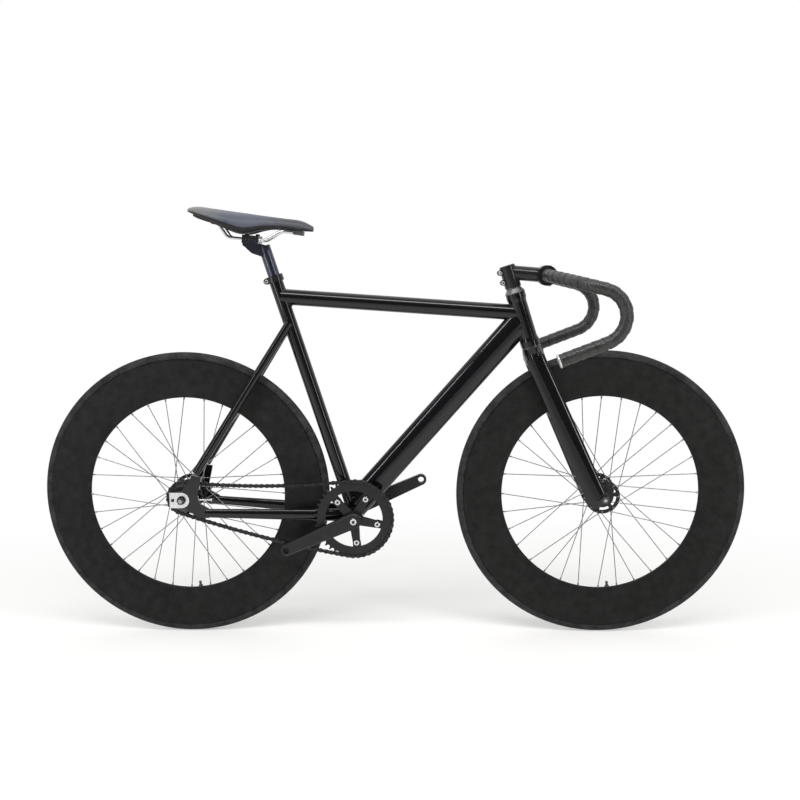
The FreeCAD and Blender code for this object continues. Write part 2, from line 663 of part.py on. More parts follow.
def chain_tugs(screws):
    """Silver plates on the rear axle, outside the dropouts, and the screws that set the axle."""
    plates = []
    round_end, rear = S.tug_front_radius, -S.tug_rear
    corners = [(rear, -round_end), (0, -round_end, round_end), (round_end, 0, round_end),
               (0, round_end), (rear, round_end)]
    for name, side in SIDES:
        y = S.rear_drop_y + S.dropout_thickness + (S.tug_thickness if side > 0 else 0)
        outline = moved(plate("tug_" + name, corners, S.tug_thickness),
                        REAR_AXLE + Y_AXIS * (side * float(y)))
        hole = cylinder("tug_hole_" + name, S.rear_axle_radius + S.running_gap, S.rear_drop_y * 4,
                        REAR_AXLE - Y_AXIS * float(S.rear_drop_y * 2), Y_AXIS)
        window = box("tug_window_" + name, S.tug_slot, S.rear_drop_y * 4, S.tug_slot,
                     REAR_AXLE - X_AXIS * float(S.tug_rear - S.tug_slot))
        plates.append(cut("tug_plate_" + name, outline, hole, window))
    node(group("tugs", *plates, *screws), "chain_tensioners")


def axle(label, centre, radius, hub_half, drop_y, clamped):
    """An axle with a collar against each fork end, a washer and nut outside each, and turned-down ends."""
    reach = drop_y + clamped + S.washer_height + S.nut_height
    shaft = cylinder(label + "_shaft", radius, reach * 2, centre - Y_AXIS * float(reach), Y_AXIS)
    thin = radius - S.axle_end_step
    pieces, nuts = [shaft], []
    for name, side in SIDES:
        out = Y_AXIS * side
        begin = hub_half + S.axle_collar_gap
        pieces.append(cylinder("%s_collar_%s" % (label, name), S.axle_collar_radius, drop_y - begin,
                               centre + out * float(begin), out))
        end = centre + out * float(reach)
        pieces.append(cylinder("%s_relief_%s" % (label, name), thin - S.axle_end_step, S.axle_relief,
                               end, out))
        pieces.append(cylinder("%s_end_%s" % (label, name), thin, S.axle_stub,
                               end + out * float(S.axle_relief), out))
        face = centre + out * float(drop_y + clamped)
        washer = cylinder("%s_washer_%s" % (label, name), S.washer_radius, S.washer_height, face, out)
        nut = doc.addObject("Part::Prism", "%s_nut_%s" % (label, name))
        nut.Polygon = 6
        bind(nut, Circumradius=S.nut_radius, Height=S.nut_height)
        nut.Placement = along(face + out * float(S.washer_height), out)
        whole = fuse("%s_flange_nut_%s" % (label, name), washer, nut)
        hole = cylinder("%s_nut_hole_%s" % (label, name), radius, S.rear_drop_y,
                        face - out * float(S.overrun), out)
        nuts.append(cut("%s_nut_cut_%s" % (label, name), whole, hole))
    node(fuse(label + "_whole", *pieces), label)
    node(group(label + "_nuts", *nuts), label + "_nuts")


# Wheels

def tyre(label, centre):
    """An open casing whose two beads sit in the rim; gives back the tube inside it and its floor."""
    middle = S.tyre_radius - S.tyre_section
    inner_section = S.tyre_section - S.tyre_wall
    tube_section = inner_section - S.tube_gap
    rounds = {}
    for name, section in (("casing", S.tyre_section), ("casing_inner", inner_section),
                          ("tube_outer", tube_section), ("tube_inner", tube_section - S.tube_wall)):
        torus = doc.addObject("Part::Torus", "%s_%s" % (label, name))
        bind(torus, Radius1=middle, Radius2=section)
        torus.Placement = along(centre, Y_AXIS)
        rounds[name] = torus
    half, channel = S.bead_half_width, S.bead_half_width - S.bead_width
    beads = turned(label + "_beads", ring(middle, S.bead_seat_radius, -half, half), "XY_Plane")
    opening = turned(label + "_opening", ring(middle, S.bead_seat_radius - S.overrun, -channel, channel),
                     "XY_Plane")
    whole = fuse(label + "_casing_whole", rounds["casing"], moved(beads, centre))
    node(cut(label + "_casing_open", whole, moved(opening, centre), rounds["casing_inner"]), label + "_tyre")
    return cut(label + "_tube_wall", rounds["tube_outer"], rounds["tube_inner"]), middle - tube_section


def rim(label, centre, nipple_holes, valve_hole):
    """A deep hollow rim with a nipple hole for each spoke."""
    edge, half = S.rim_edge_radius, S.rim_half_width
    nose, nose_half = S.rim_inner_radius + S.rim_nose_depth, S.rim_nose_half_width
    track, floor = edge - S.rim_track, S.bead_seat_radius
    channel, well = half - S.rim_flange, S.rim_nose_half_width
    nose_round = S.put(label + "_nose_round", (float(nose_half) ** 2 + float(S.rim_nose_depth) ** 2)
                       / (2 * float(S.rim_nose_depth)))
    blank = turned(label + "_rim_blank", [
        (edge, half), (track, half, S.rim_side_bulge), (nose, nose_half, nose_round),
        (nose, -nose_half, S.rim_side_bulge), (track, -half), (edge, -half), (edge, -channel),
        (floor, -channel), (floor, -well), (floor - S.rim_well, -well), (floor - S.rim_well, well),
        (floor, well), (floor, channel), (edge, channel)], "XY_Plane")
    roof, wall = floor - S.rim_well - S.rim_wall, S.rim_wall
    bed, bed_half = nose + S.spoke_bed, nose_half - S.rim_wall
    hollow = turned(label + "_rim_hollow", [
        (roof, half - wall), (track, half - wall, S.rim_side_bulge), (bed, bed_half),
        (bed, -bed_half, S.rim_side_bulge), (track, wall - half), (roof, wall - half)], "XY_Plane")
    holes = feature(label + "_nipple_holes", Part.makeCompound(nipple_holes))
    valve = feature(label + "_valve_hole", valve_hole)
    node(cut(label + "_rim", moved(blank, centre), moved(hollow, centre), holes, valve), label + "_rim")


def spokes(label, centre, flange_y):
    """Crossed spokes with bent and headed ends, their nipples, and the holes that both pass through."""
    step = 360 / float(S.spokes_per_flange)
    bed = float(S.rim_inner_radius + S.rim_nose_depth + S.spoke_bed)
    wires, nipples, rim_holes, flange_holes = [], [], [], []
    clear = float(S.spoke_radius + S.fit_gap / 2)
    half = float(S.flange_thickness / 2)
    for _, side in SIDES:
        for number in range(int(float(S.spokes_per_flange))):
            outside = 1 if number % 2 else -1
            angle = number * step + (step / 2 if side > 0 else 0)
            hole = (centre + heading(angle) * float(S.flange_hole_circle)
                    + Y_AXIS * (side * float(flange_y)))
            out = Y_AXIS * (side * outside)
            head = hole - out * half
            lift = float(S.spoke_lift) if outside > 0 else 0
            elbow = hole + out * (half + clear + lift)
            seat = centre + heading(angle + outside * float(S.spoke_crosses) * step) * bed
            run = (seat - elbow).normalize()
            end = seat - run * float(S.nipple_length)
            wire = pipe(rounded([head, elbow, end], [S.spoke_bend]), S.spoke_radius)
            cap = Part.makeCylinder(float(S.spoke_head_radius), float(S.spoke_head_height), head, out * -1)
            wires.append(wire.fuse(cap))
            body = Part.makeCylinder(float(S.nipple_radius), float(S.nipple_length + S.fit_gap * 4), end, run)
            top = Part.makeCylinder(float(S.nipple_head_radius), float(S.nipple_head_height),
                                    seat + run * float(S.fit_gap * 4), run)
            nipples.append(body.fuse(top))
            rim_holes.append(Part.makeCylinder(float(S.nipple_radius + S.fit_gap / 2),
                                               float(S.nipple_length + S.overrun), end, run))
            flange_holes.append(Part.makeCylinder(float(S.spoke_radius + S.fit_gap * 3),
                                                  float(S.flange_thickness * 2),
                                                  hole - out * float(S.flange_thickness), out))
    node(feature(label + "_spoke_set", Part.makeCompound(wires + nipples)), label + "_spokes")
    return rim_holes, flange_holes


def hub(label, centre, flange_y, hub_half, axle_radius, flange_holes):
    """A high-flange hub shell with curved windows, turning on two sealed bearings."""
    end, barrel, flange = S.hub_end_radius, S.hub_barrel_radius, S.flange_radius
    outside, inside = flange_y + S.flange_thickness / 2, flange_y - S.flange_thickness / 2
    seat, deep, bore = S.bearing_radius, hub_half - S.bearing_width, S.axle_collar_radius
    shell = turned(label + "_hub_turned", [
        (seat, hub_half), (end, hub_half), (end, outside), (flange, outside), (flange, inside),
        (barrel, inside), (barrel, -inside), (flange, -inside), (flange, -outside), (end, -outside),
        (end, -hub_half), (seat, -hub_half), (seat, -deep), (bore, -deep), (bore, deep), (seat, deep)],
        "XY_Plane")
    windows = []
    length = float(flange_y + S.flange_thickness) * 2
    start = centre - Y_AXIS * (length / 2)
    for number in range(int(float(S.flange_slots))):
        outer = Part.makeCylinder(float(S.slot_outer_radius), length, Vector(), Z_AXIS, float(S.slot_angle))
        inner = Part.makeCylinder(float(S.slot_inner_radius), length, Vector(), Z_AXIS, 360)
        sector = outer.cut(inner)
        sector.rotate(Vector(), Z_AXIS, number * 360 / float(S.flange_slots))
        sector.rotate(Vector(), X_AXIS, -90)
        sector.translate(start)
        windows.append(sector)
    holes = feature(label + "_flange_holes", Part.makeCompound(flange_holes))
    cuts = feature(label + "_flange_windows", Part.makeCompound(windows))
    node(cut(label + "_hub", moved(shell, centre), holes, cuts), label + "_hub_shell")
    races = []
    for name, low in (("left", deep), ("right", -hub_half)):
        race = turned("%s_bearing_%s" % (label, name),
                      ring(S.bearing_radius, axle_radius + S.running_gap, low, low + S.bearing_width),
                      "XY_Plane")
        races.append(moved(race, centre))
    node(group(label + "_bearings", *races), label + "_hub_bearings")


def wheel(label, centre, flange_y, hub_half, axle_radius, valve_angle):
    """A whole wheel that turns about its axle."""
    tube_wall, tube_floor = tyre(label, centre)
    rim_holes, flange_holes = spokes(label, centre, flange_y)
    inward = heading(valve_angle) * -1
    top = centre - inward * float(tube_floor)
    reach = tube_floor - S.rim_inner_radius + S.valve_reach
    hole = Part.makeCylinder(float(S.valve_radius + S.fit_gap), float(reach), top, inward)
    rim(label, centre, rim_holes, hole)
    stem = cylinder(label + "_valve_stem", S.valve_radius, reach, top, inward)
    nut = cylinder(label + "_valve_nut", S.valve_nut_radius, S.valve_nut_height,
                   centre - inward * float(S.rim_inner_radius - S.fit_gap), inward)
    valve = fuse(label + "_valve", stem, nut)
    node(group(label + "_tube_set", tube_wall, valve), label + "_inner_tube")
    hub(label, centre, flange_y, hub_half, axle_radius, flange_holes)


# Sprockets and chain

def world(x, y, side_y):
    """A place of the chain's loop in the bicycle's frame."""
    ahead = (BRACKET - REAR_AXLE).normalize()
    above = Vector(-ahead.z, 0, ahead.x)
    return REAR_AXLE + ahead * x + above * y + Y_AXIS * side_y


def toothed(teeth, centre, first_roller, thickness):
    """A toothed disc whose gaps seat rollers, one of them at a given place."""
    pitch = pitch_radius(teeth)
    radius = float(S.roller_radius + S.seat_clearance)
    lean = math.radians(float(S.tooth_lean))
    half = float(S.chain_pitch - S.tooth_tip) / 2
    spoke = first_roller - centre
    start = math.atan2(spoke.z, spoke.x)
    edges, joints = [], []
    for number in range(int(float(teeth))):
        angle = start + number * 2 * math.pi / float(teeth)
        out = Vector(math.cos(angle), 0, math.sin(angle))
        turn = Vector(-math.sin(angle), 0, math.cos(angle))
        seat = out * pitch
        side = turn * (radius * math.cos(lean))
        low = seat - out * (radius * math.sin(lean))
        tip = seat + out * float(S.tooth_height)
        joints.append((tip - turn * half, low - side, seat - out * radius, low + side, tip + turn * half))
    for number, (tip, low, floor, other_low, other_tip) in enumerate(joints):
        edges.append(Part.LineSegment(joints[number - 1][4], tip).toShape())
        edges.append(Part.LineSegment(tip, low).toShape())
        edges.append(Part.Arc(low, floor, other_low).toShape())
        edges.append(Part.LineSegment(other_low, other_tip).toShape())
    disc = Part.Face(Part.Wire(edges)).extrude(Y_AXIS * float(thickness))
    disc.translate(Vector(centre.x, centre.y - float(thickness / 2), centre.z))
    return disc


def link(half_width, bars_radius, bars_half, bore):
    """One chain link, lying along X with its first pin at the origin: two waisted side plates joined
    by a roller or a pin at each end."""
    pitch, radius = float(S.chain_pitch), float(S.plate_radius)
    waist = float(S.plate_waist)
    dip = math.radians(float(S.plate_dip))
    near = Vector(radius * math.cos(dip), 0, radius * math.sin(dip))
    far = Vector(pitch - near.x, 0, near.z)
    middle = Vector(pitch / 2, 0, waist)
    flip = FreeCAD.Matrix()
    flip.scale(1, 1, -1)
    low_near, low_far, low_middle = [flip.multiply(point) for point in (near, far, middle)]
    outline = Part.Wire([
        Part.Arc(near, middle, far).toShape(),
        Part.Arc(far, Vector(pitch + radius, 0, 0), low_far).toShape(),
        Part.Arc(low_far, low_middle, low_near).toShape(),
        Part.Arc(low_near, Vector(-radius, 0, 0), near).toShape()])
    side = Part.Face(outline).extrude(Y_AXIS * float(S.plate_thickness))
    solids = []
    for start in (float(half_width), -float(half_width + S.plate_thickness)):
        copy = side.copy()
        copy.translate(Y_AXIS * start)
        solids.append(copy)
    for x in (0, pitch):
        start = Vector(x, -float(bars_half), 0)
        solids.append(Part.makeCylinder(float(bars_radius), float(bars_half) * 2, start, Y_AXIS))
    whole = solids[0].multiFuse(solids[1:])
    if bore is not None:
        for x in (0, pitch):
            start = Vector(x, -float(half_width + S.overrun), 0)
            length = float(half_width + S.overrun) * 2
            whole = whole.cut(Part.makeCylinder(float(bore), length, start, Y_AXIS))
    return whole


def chain():
    """Inner and outer links in turn, their rollers seated in the teeth."""
    places = [world(x, y, -float(S.chain_line)) for x, y in LOOP.rollers()[0]]
    inner_half = S.inner_width / 2
    outer_half = inner_half + S.plate_thickness + S.plate_gap
    pin_half = outer_half + S.plate_thickness + S.pin_overhang
    inner = link(inner_half, S.roller_radius, inner_half, S.pin_radius + S.running_gap)
    outer = link(outer_half, S.pin_radius, pin_half, None)
    links = []
    for number, place in enumerate(places):
        after = places[(number + 1) % len(places)]
        copy = (outer if number % 2 else inner).copy()
        copy.Placement = FreeCAD.Placement(place, FreeCAD.Rotation(X_AXIS, after - place))
        links.append(copy)
    node(feature("chain_links", Part.makeCompound(links)), "chain")
    cog_pitch = pitch_radius(S.cog_teeth)
    on_cog = [place for place in places if abs((place - world(0, 0, place.y)).Length - cog_pitch) < 1e-6]
    return places[0], on_cog[0]


def sprocket(first_roller):
    """The fixed rear sprocket and the lockring that holds it on the hub."""
    centre = REAR_AXLE - Y_AXIS * float(S.chain_line)
    teeth = feature("cog_teeth", toothed(S.cog_teeth, centre, first_roller, S.cog_thickness))
    reach = S.cog_thickness + S.lockring_width
    bore = cylinder("cog_bore", S.hub_end_radius, reach * 2, centre - Y_AXIS * float(reach), Y_AXIS)
    node(cut("cog", teeth, bore), "rear_sprocket")
    outer = cylinder("lockring_outer", S.lockring_radius, S.lockring_width,
                     centre - Y_AXIS * float(S.cog_thickness / 2), Y_AXIS * -1)
    node(cut("lockring", outer, bore), "sprocket_lockring")


# Cranks

def crank_frame(side):
    """Where a crank's own frame lies: X along its arm from the spindle."""
    angle = float(S.crank_angle) + (180 if side > 0 else 0)
    return FreeCAD.Placement(BRACKET, FreeCAD.Rotation(Y_AXIS, -angle))


def in_crank(side, x, y, z):
    """A place given in a crank's own frame."""
    return crank_frame(side).multVec(Vector(float(x), float(y), float(z)))


def crank_arm(name, side):
    """A tapered arm with a square socket and a threaded pedal eye."""
    big, small, length = S.crank_hub_radius, S.crank_eye_radius, S.crank_length
    outline = plate("crank_blank_" + name, [
        (0, -big), (length, -small, small), (length + small, 0, small), (length, small), (0, big, big),
        (-big, 0, big)], S.crank_thickness)
    bevel(outline, -float(S.crank_thickness) if side < 0 else 0, S.crank_bevel)
    frame = crank_frame(side)
    low = S.crank_y if side < 0 else S.crank_y + S.crank_thickness
    outline.Placement = FreeCAD.Placement(in_crank(side, 0, side * float(low), 0), frame.Rotation)
    root = S.chain_line + S.ring_thickness / 2 if side < 0 else S.crank_y
    hub = cylinder("crank_hub_" + name, big, S.crank_y - root + S.overrun,
                   in_crank(side, 0, side * float(root), 0), Y_AXIS * side)
    return [outline, hub] if side < 0 else [outline]


def cranks():
    """Both arms, the spider, chainring, bolts, and the spindle in its cups."""
    solids = {"left": crank_arm("left", 1), "right": crank_arm("right", -1)}
    face = S.chain_line + S.ring_thickness / 2
    bolts, holes = [], []
    for number in range(int(float(S.spider_arms))):
        turn = FreeCAD.Rotation(Y_AXIS, -number * 360 / float(S.spider_arms))
        frame = crank_frame(-1)
        rotation = frame.Rotation.multiply(turn)
        arm = plate("spider_arm_%d" % number, [
            (0, -S.spider_root / 2), (S.bolt_circle_radius, -S.spider_width / 2, S.spider_tip_radius),
            (S.bolt_circle_radius, S.spider_width / 2), (0, S.spider_root / 2)], S.spider_thickness)
        arm.Placement = FreeCAD.Placement(BRACKET - Y_AXIS * float(face), rotation)
        solids["right"].append(arm)
        place = BRACKET + rotation.multVec(X_AXIS) * float(S.bolt_circle_radius)
        inner = place - Y_AXIS * float(face - S.ring_thickness)
        outer = place - Y_AXIS * float(face + S.spider_thickness)
        shank = cylinder("ring_bolt_%d" % number, S.ring_bolt_radius, S.ring_thickness + S.spider_thickness,
                         inner, Y_AXIS * -1)
        nut = cylinder("ring_nut_%d" % number, S.ring_bolt_head, S.ring_bolt_cap, inner, Y_AXIS)
        cap = cylinder("ring_cap_%d" % number, S.ring_bolt_head, S.ring_bolt_cap, outer, Y_AXIS * -1)
        bolts.append(fuse("ring_bolt_set_%d" % number, shank, nut, cap))
        holes.append(cylinder("ring_hole_%d" % number, S.ring_bolt_radius + S.fit_gap / 4, S.chain_line,
                              place - Y_AXIS * float(S.chain_line / 2), Y_AXIS * -1))

    bolt_seat = S.crank_y + S.crank_thickness
    taper_end = bolt_seat - S.overrun
    square = box("spindle_square", S.spindle_square, taper_end * 2, S.spindle_square, BRACKET,
                 crank_frame(-1).Rotation)
    round_half = face + S.fit_gap
    core = cylinder("spindle_round", S.spindle_radius, round_half * 2,
                    BRACKET - Y_AXIS * float(round_half), Y_AXIS)
    tapped = cylinder("spindle_tapped", S.crank_bolt_radius, taper_end * 4,
                      BRACKET - Y_AXIS * float(taper_end * 2), Y_AXIS)
    waist = cylinder("spindle_waist", S.spindle_radius, taper_end * 2, BRACKET - Y_AXIS * float(taper_end),
                     Y_AXIS)
    trimmed = doc.addObject("Part::Common", "spindle_taper")
    trimmed.Base = square
    trimmed.Tool = waist
    node(cut("spindle", fuse("spindle_whole", trimmed, core), tapped), "crank_spindle")
    for name, side in SIDES:
        out = Y_AXIS * side
        face_seat = BRACKET + out * float(bolt_seat)
        head = cylinder("crank_bolt_head_" + name, S.crank_bolt_head, S.crank_bolt_cap, face_seat, out)
        shank = cylinder("crank_bolt_shank_" + name, S.crank_bolt_radius, S.crank_bolt_length, face_seat,
                         out * -1)
        bolts.append(fuse("crank_bolt_" + name, head, shank))
        hole = cylinder("crank_bolt_hole_" + name, S.crank_bolt_radius + S.fit_gap, bolt_seat,
                        face_seat + out * float(S.overrun), out * -1)
        eye = cylinder("pedal_bore_" + name, S.pedal_bore_radius, S.crank_y * 2,
                       in_crank(side, S.crank_length, 0, 0), out)
        first, *others = solids[name]
        whole = fuse("crank_solid_" + name, first, *others) if others else first
        tools = [trimmed, core, hole, eye] + (holes if side < 0 else [])
        node(cut("crank_" + name, whole, *tools), "crank_arm_" + name)
    node(group("crank_bolts", *bolts), "crankset_bolts")

    cups = []
    for name, side in SIDES:
        out = Y_AXIS * side
        inner = S.shell_half_width - S.cup_depth
        body = cylinder("cup_body_" + name, S.shell_bore, S.cup_depth, BRACKET + out * float(inner), out)
        lip = cylinder("cup_lip_" + name, S.cup_lip_radius, S.cup_lip,
                       BRACKET + out * float(S.shell_half_width), out)
        bore = cylinder("cup_bore_" + name, S.spindle_radius + S.running_gap, S.shell_half_width * 2,
                        BRACKET, out)
        cups.append(cut("cup_" + name, fuse("cup_whole_" + name, body, lip), bore))
    node(group("cups", *cups), "bottom_bracket_cups")
    return holes


def chainring(first_roller, holes):
    """The toothed ring with five inward tabs that the spider's bolts hold."""
    centre = BRACKET - Y_AXIS * float(S.chain_line)
    teeth = feature("ring_teeth_disc", toothed(S.ring_teeth, centre, first_roller, S.ring_thickness))
    start = centre - Y_AXIS * float(S.ring_thickness)
    window = cylinder("ring_window", S.ring_inner_radius, S.ring_thickness * 2, start, Y_AXIS)
    tabs = [cut("ring_band", teeth, window)]
    for number in range(int(float(S.spider_arms))):
        turn = FreeCAD.Rotation(Y_AXIS, -number * 360 / float(S.spider_arms))
        rotation = crank_frame(-1).Rotation.multiply(turn)
        length = S.ring_inner_radius - S.bolt_circle_radius + S.overrun
        tab = box("ring_tab_%d" % number, length, S.ring_thickness, S.ring_tab_width,
                  centre + rotation.multVec(X_AXIS) * float(S.bolt_circle_radius + length / 2), rotation)
        eye = cylinder("ring_eye_%d" % number, S.ring_tab_width / 2, S.ring_thickness,
                       centre + rotation.multVec(X_AXIS) * float(S.bolt_circle_radius)
                       - Y_AXIS * float(S.ring_thickness / 2), Y_AXIS)
        tabs += [tab, eye]
    node(cut("chainring", fuse("ring_with_tabs", *tabs), *holes), "chainring")


# Seat

# Saddle stations: share of its length from the tail, of its half width, and of its depth for the top, the
# lower edges and the middle of the hollow under it
SADDLE_SHARES = (
    (0.0, 0.4, -0.1, -0.32, -0.3), (0.07, 0.86, 0.03, -0.42, -0.38), (0.2, 1.0, 0.06, -0.62, -0.45),
    (0.34, 0.94, 0.07, -0.84, -0.48), (0.46, 0.7, 0.08, -0.99, -0.5), (0.6, 0.42, 0.07, -0.66, -0.47),
    (0.75, 0.29, 0.08, -0.48, -0.43), (0.9, 0.25, 0.08, -0.46, -0.41), (1.0, 0.13, -0.14, -0.4, -0.37))
# Across a section: where the crown ends and how far it falls, the widest point, and the lower edges
CROWN_SHARE, CROWN_FALL_SHARE = 0.74, 0.2
WIDEST_SHARE, EDGE_SHARE = 0.6, 0.84
SHELL_WIDTH_SHARE = 0.8
# Ends of the rails: shares of the saddle's length and depth, and of the rails' spacing
TAIL_END_SHARES = (0.25, -0.66, 1.25)
NOSE_BEND_SHARES, NOSE_END_SHARES = (0.75, -0.62, 0.6), (0.885, -0.58, 0.34)

SADDLE_TURN = FreeCAD.Rotation(Y_AXIS, float(S.saddle_tilt))
RAIL_TURN = FreeCAD.Rotation(Y_AXIS, float(S.rail_tilt))
RAIL_AHEAD, RAIL_UP = RAIL_TURN.multVec(X_AXIS), RAIL_TURN.multVec(Z_AXIS)


def on_saddle(length_share, y, depth_share):
    """A place on the tilted saddle."""
    place = Vector(float(S.saddle_length) * length_share, float(y), float(S.saddle_depth) * depth_share)
    return SADDLE_TAIL + SADDLE_TURN.multVec(place)


def pad_section(station):
    """A crowned section with drawn-in sides, hollow underneath."""
    x_share, half_share, top, low, arch = station
    half = float(S.saddle_width) / 2 * half_share
    deep = top - low

    def at(width_share, down_share):
        return on_saddle(x_share, half * width_share, top - deep * down_share)

    left, right = at(CROWN_SHARE, CROWN_FALL_SHARE), at(-CROWN_SHARE, CROWN_FALL_SHARE)
    low_left, low_right = at(EDGE_SHARE, 1), at(-EDGE_SHARE, 1)
    return Part.Wire([
        Part.Arc(left, at(0, 0), right).toShape(),
        Part.Arc(right, at(-1, WIDEST_SHARE), low_right).toShape(),
        Part.Arc(low_right, on_saddle(x_share, 0, arch), low_left).toShape(),
        Part.Arc(low_left, at(1, WIDEST_SHARE), left).toShape()])


def shell_section(station):
    """A thin arched section just under the pad."""
    x_share, half_share, _, low, arch = station
    half = float(S.saddle_width) / 2 * half_share * SHELL_WIDTH_SHARE
    gap = float(S.fit_gap) / float(S.saddle_depth)
    deep = float(S.saddle_shell) / float(S.saddle_depth)
    arcs = []
    for drop in (gap, gap + deep):
        edges = [on_saddle(x_share, y, low - drop) for y in (half, -half)]
        arcs.append((edges[0], on_saddle(x_share, 0, arch - drop), edges[1]))
    (left, top, right), (low_left, bottom, low_right) = arcs
    return Part.Wire([
        Part.Arc(left, top, right).toShape(), Part.LineSegment(right, low_right).toShape(),
        Part.Arc(low_right, bottom, low_left).toShape(), Part.LineSegment(low_left, left).toShape()])


def saddle():
    """Padded cover, two bent rails, and the moulded shell with the sockets that hold the rails' ends."""
    pad = feature("saddle_pad_form",
                  Part.makeLoft([pad_section(station) for station in SADDLE_SHARES], True, False))
    node(pad, "saddle_pad")
    shell = feature("saddle_shell_form",
                    Part.makeLoft([shell_section(station) for station in SADDLE_SHARES[1:-1]], True, False))
    bars = []
    x, z, _ = NOSE_END_SHARES
    blocks = [box("nose_socket", S.socket_length, S.nose_socket_width, S.socket_height,
                  on_saddle(x, 0, z), SADDLE_TURN)]
    for name, side in SIDES:
        beside = Y_AXIS * (side * float(S.rail_y))
        tail, bend, nose = [on_saddle(x, side * spread * float(S.rail_y), z) for x, z, spread in
                            (TAIL_END_SHARES, NOSE_BEND_SHARES, NOSE_END_SHARES)]
        line = rounded([tail, CLAMP + beside - RAIL_AHEAD * float(S.rail_back),
                        CLAMP + beside + RAIL_AHEAD * float(S.rail_ahead), bend, nose], [S.rail_bend] * 3)
        bars.append(feature("rail_" + name, pipe(line, S.rail_radius)))
        blocks.append(box("tail_socket_" + name, S.socket_length, S.rear_socket_width, S.socket_height,
                          tail, SADDLE_TURN))
    node(group("rails", *bars), "saddle_rails")
    whole = fuse("saddle_shell_whole", shell, *blocks)
    node(cut("saddle_shell_cut", whole, pad, *bars), "saddle_shell")


# Corner shares of the post's head, seen from the side: of its length and its depth below the rails
POST_HEAD_SHARES = ((-0.41, -0.3), (-0.41, -0.62), (-0.32, -0.72), (0.04, -1.3), (0.14, -1.38), (0.6, -1.6),
                    (0.92, -0.7), (0.78, -0.42), (0.4, -0.3))


def seatpost():
    """A hollow post whose head cradles the rails, with the clamp and two bolts that grip them."""
    low = SEAT_TOP - SEAT_UP * float(S.post_insert)
    length = S.post_insert + S.post_exposed
    outer = cylinder("post_outer", S.post_radius, length, low, SEAT_UP)
    bore = cylinder("post_bore", S.post_radius - S.post_wall, S.post_insert + S.overrun,
                    low - SEAT_UP * float(S.overrun), SEAT_UP)
    reach = S.clamp_height + S.clamp_gap
    corners = [(S.post_head_length * x, S.post_head_depth * z) for x, z in POST_HEAD_SHARES]
    head = plate("post_head", corners, S.post_head_width)
    moved(head, CLAMP - RAIL_UP * float(S.clamp_gap) + Y_AXIS * float(S.post_head_width / 2), RAIL_TURN)
    tools, bolts = [], []
    for name, side in SIDES:
        start = CLAMP + Y_AXIS * (side * float(S.rail_y)) - RAIL_AHEAD * float(S.clamp_length)
        tools.append(cylinder("rail_groove_" + name, S.rail_radius, S.clamp_length * 2, start, RAIL_AHEAD))
    for name, side in (("front", 1), ("rear", -1)):
        start = CLAMP + RAIL_AHEAD * (side * float(S.clamp_length / 3)) - RAIL_UP * float(reach)
        shank = cylinder("clamp_bolt_" + name, S.clamp_bolt_radius, reach * 2, start, RAIL_UP)
        cap = cylinder("clamp_bolt_head_" + name, S.clamp_bolt_head, S.clamp_bolt_cap,
                       start + RAIL_UP * float(reach * 2), RAIL_UP)
        bolts.append(fuse("clamp_bolt_set_" + name, shank, cap))
        tools.append(shank)
    halves = []
    for name, side in (("upper", 1), ("lower", -1)):
        centre = CLAMP + RAIL_UP * (side * float(S.clamp_height / 2 + S.clamp_gap))
        halves.append(box("rail_clamp_" + name, S.clamp_length, S.clamp_width, S.clamp_height, centre,
                          RAIL_TURN))
    node(cut("rail_clamp_cut", halves[0], *tools), "rail_clamp")
    whole = fuse("post_whole", outer, head, halves[1])
    node(cut("seatpost_cut", whole, bore, *tools), "seatpost")
    node(group("clamp_bolts", *bolts), "rail_clamp_bolts")


def seat_collar(seat_outer):
    """A split collar on top of the seat tube, with an ear and a bolt behind."""
    low = SEAT_TOP - SEAT_UP * float(S.collar_height)
    back = SEAT_TURN.multVec(X_AXIS) * -1
    outer = cylinder("collar_outer", S.seat_tube_radius + S.collar_wall, S.collar_height, low, SEAT_UP)
    middle = low + SEAT_UP * float(S.collar_height / 2)
    reach = S.seat_tube_radius + S.collar_wall
    ear_centre = middle + back * float(reach)
    ear = cylinder("collar_ear", S.collar_ear - S.collar_slot, S.collar_ear_width,
                   ear_centre - Y_AXIS * float(S.collar_ear_width / 2), Y_AXIS)
    slot = box("collar_slot", S.collar_ear * 4, S.collar_slot, S.collar_height * 2, ear_centre, SEAT_TURN)
    shank = cylinder("collar_bolt", S.collar_bolt_radius, S.collar_ear_width,
                     ear_centre - Y_AXIS * float(S.collar_ear_width / 2), Y_AXIS)
    head = cylinder("collar_bolt_head", S.collar_bolt_head, S.collar_bolt_cap,
                    ear_centre - Y_AXIS * float(S.collar_ear_width / 2), Y_AXIS * -1)
    bolt = fuse("collar_bolt_set", shank, head)
    split = cut("collar", fuse("collar_whole", outer, ear), seat_outer, slot, shank)
    node(group("collar_set", split, bolt), "seat_collar")


# Steering

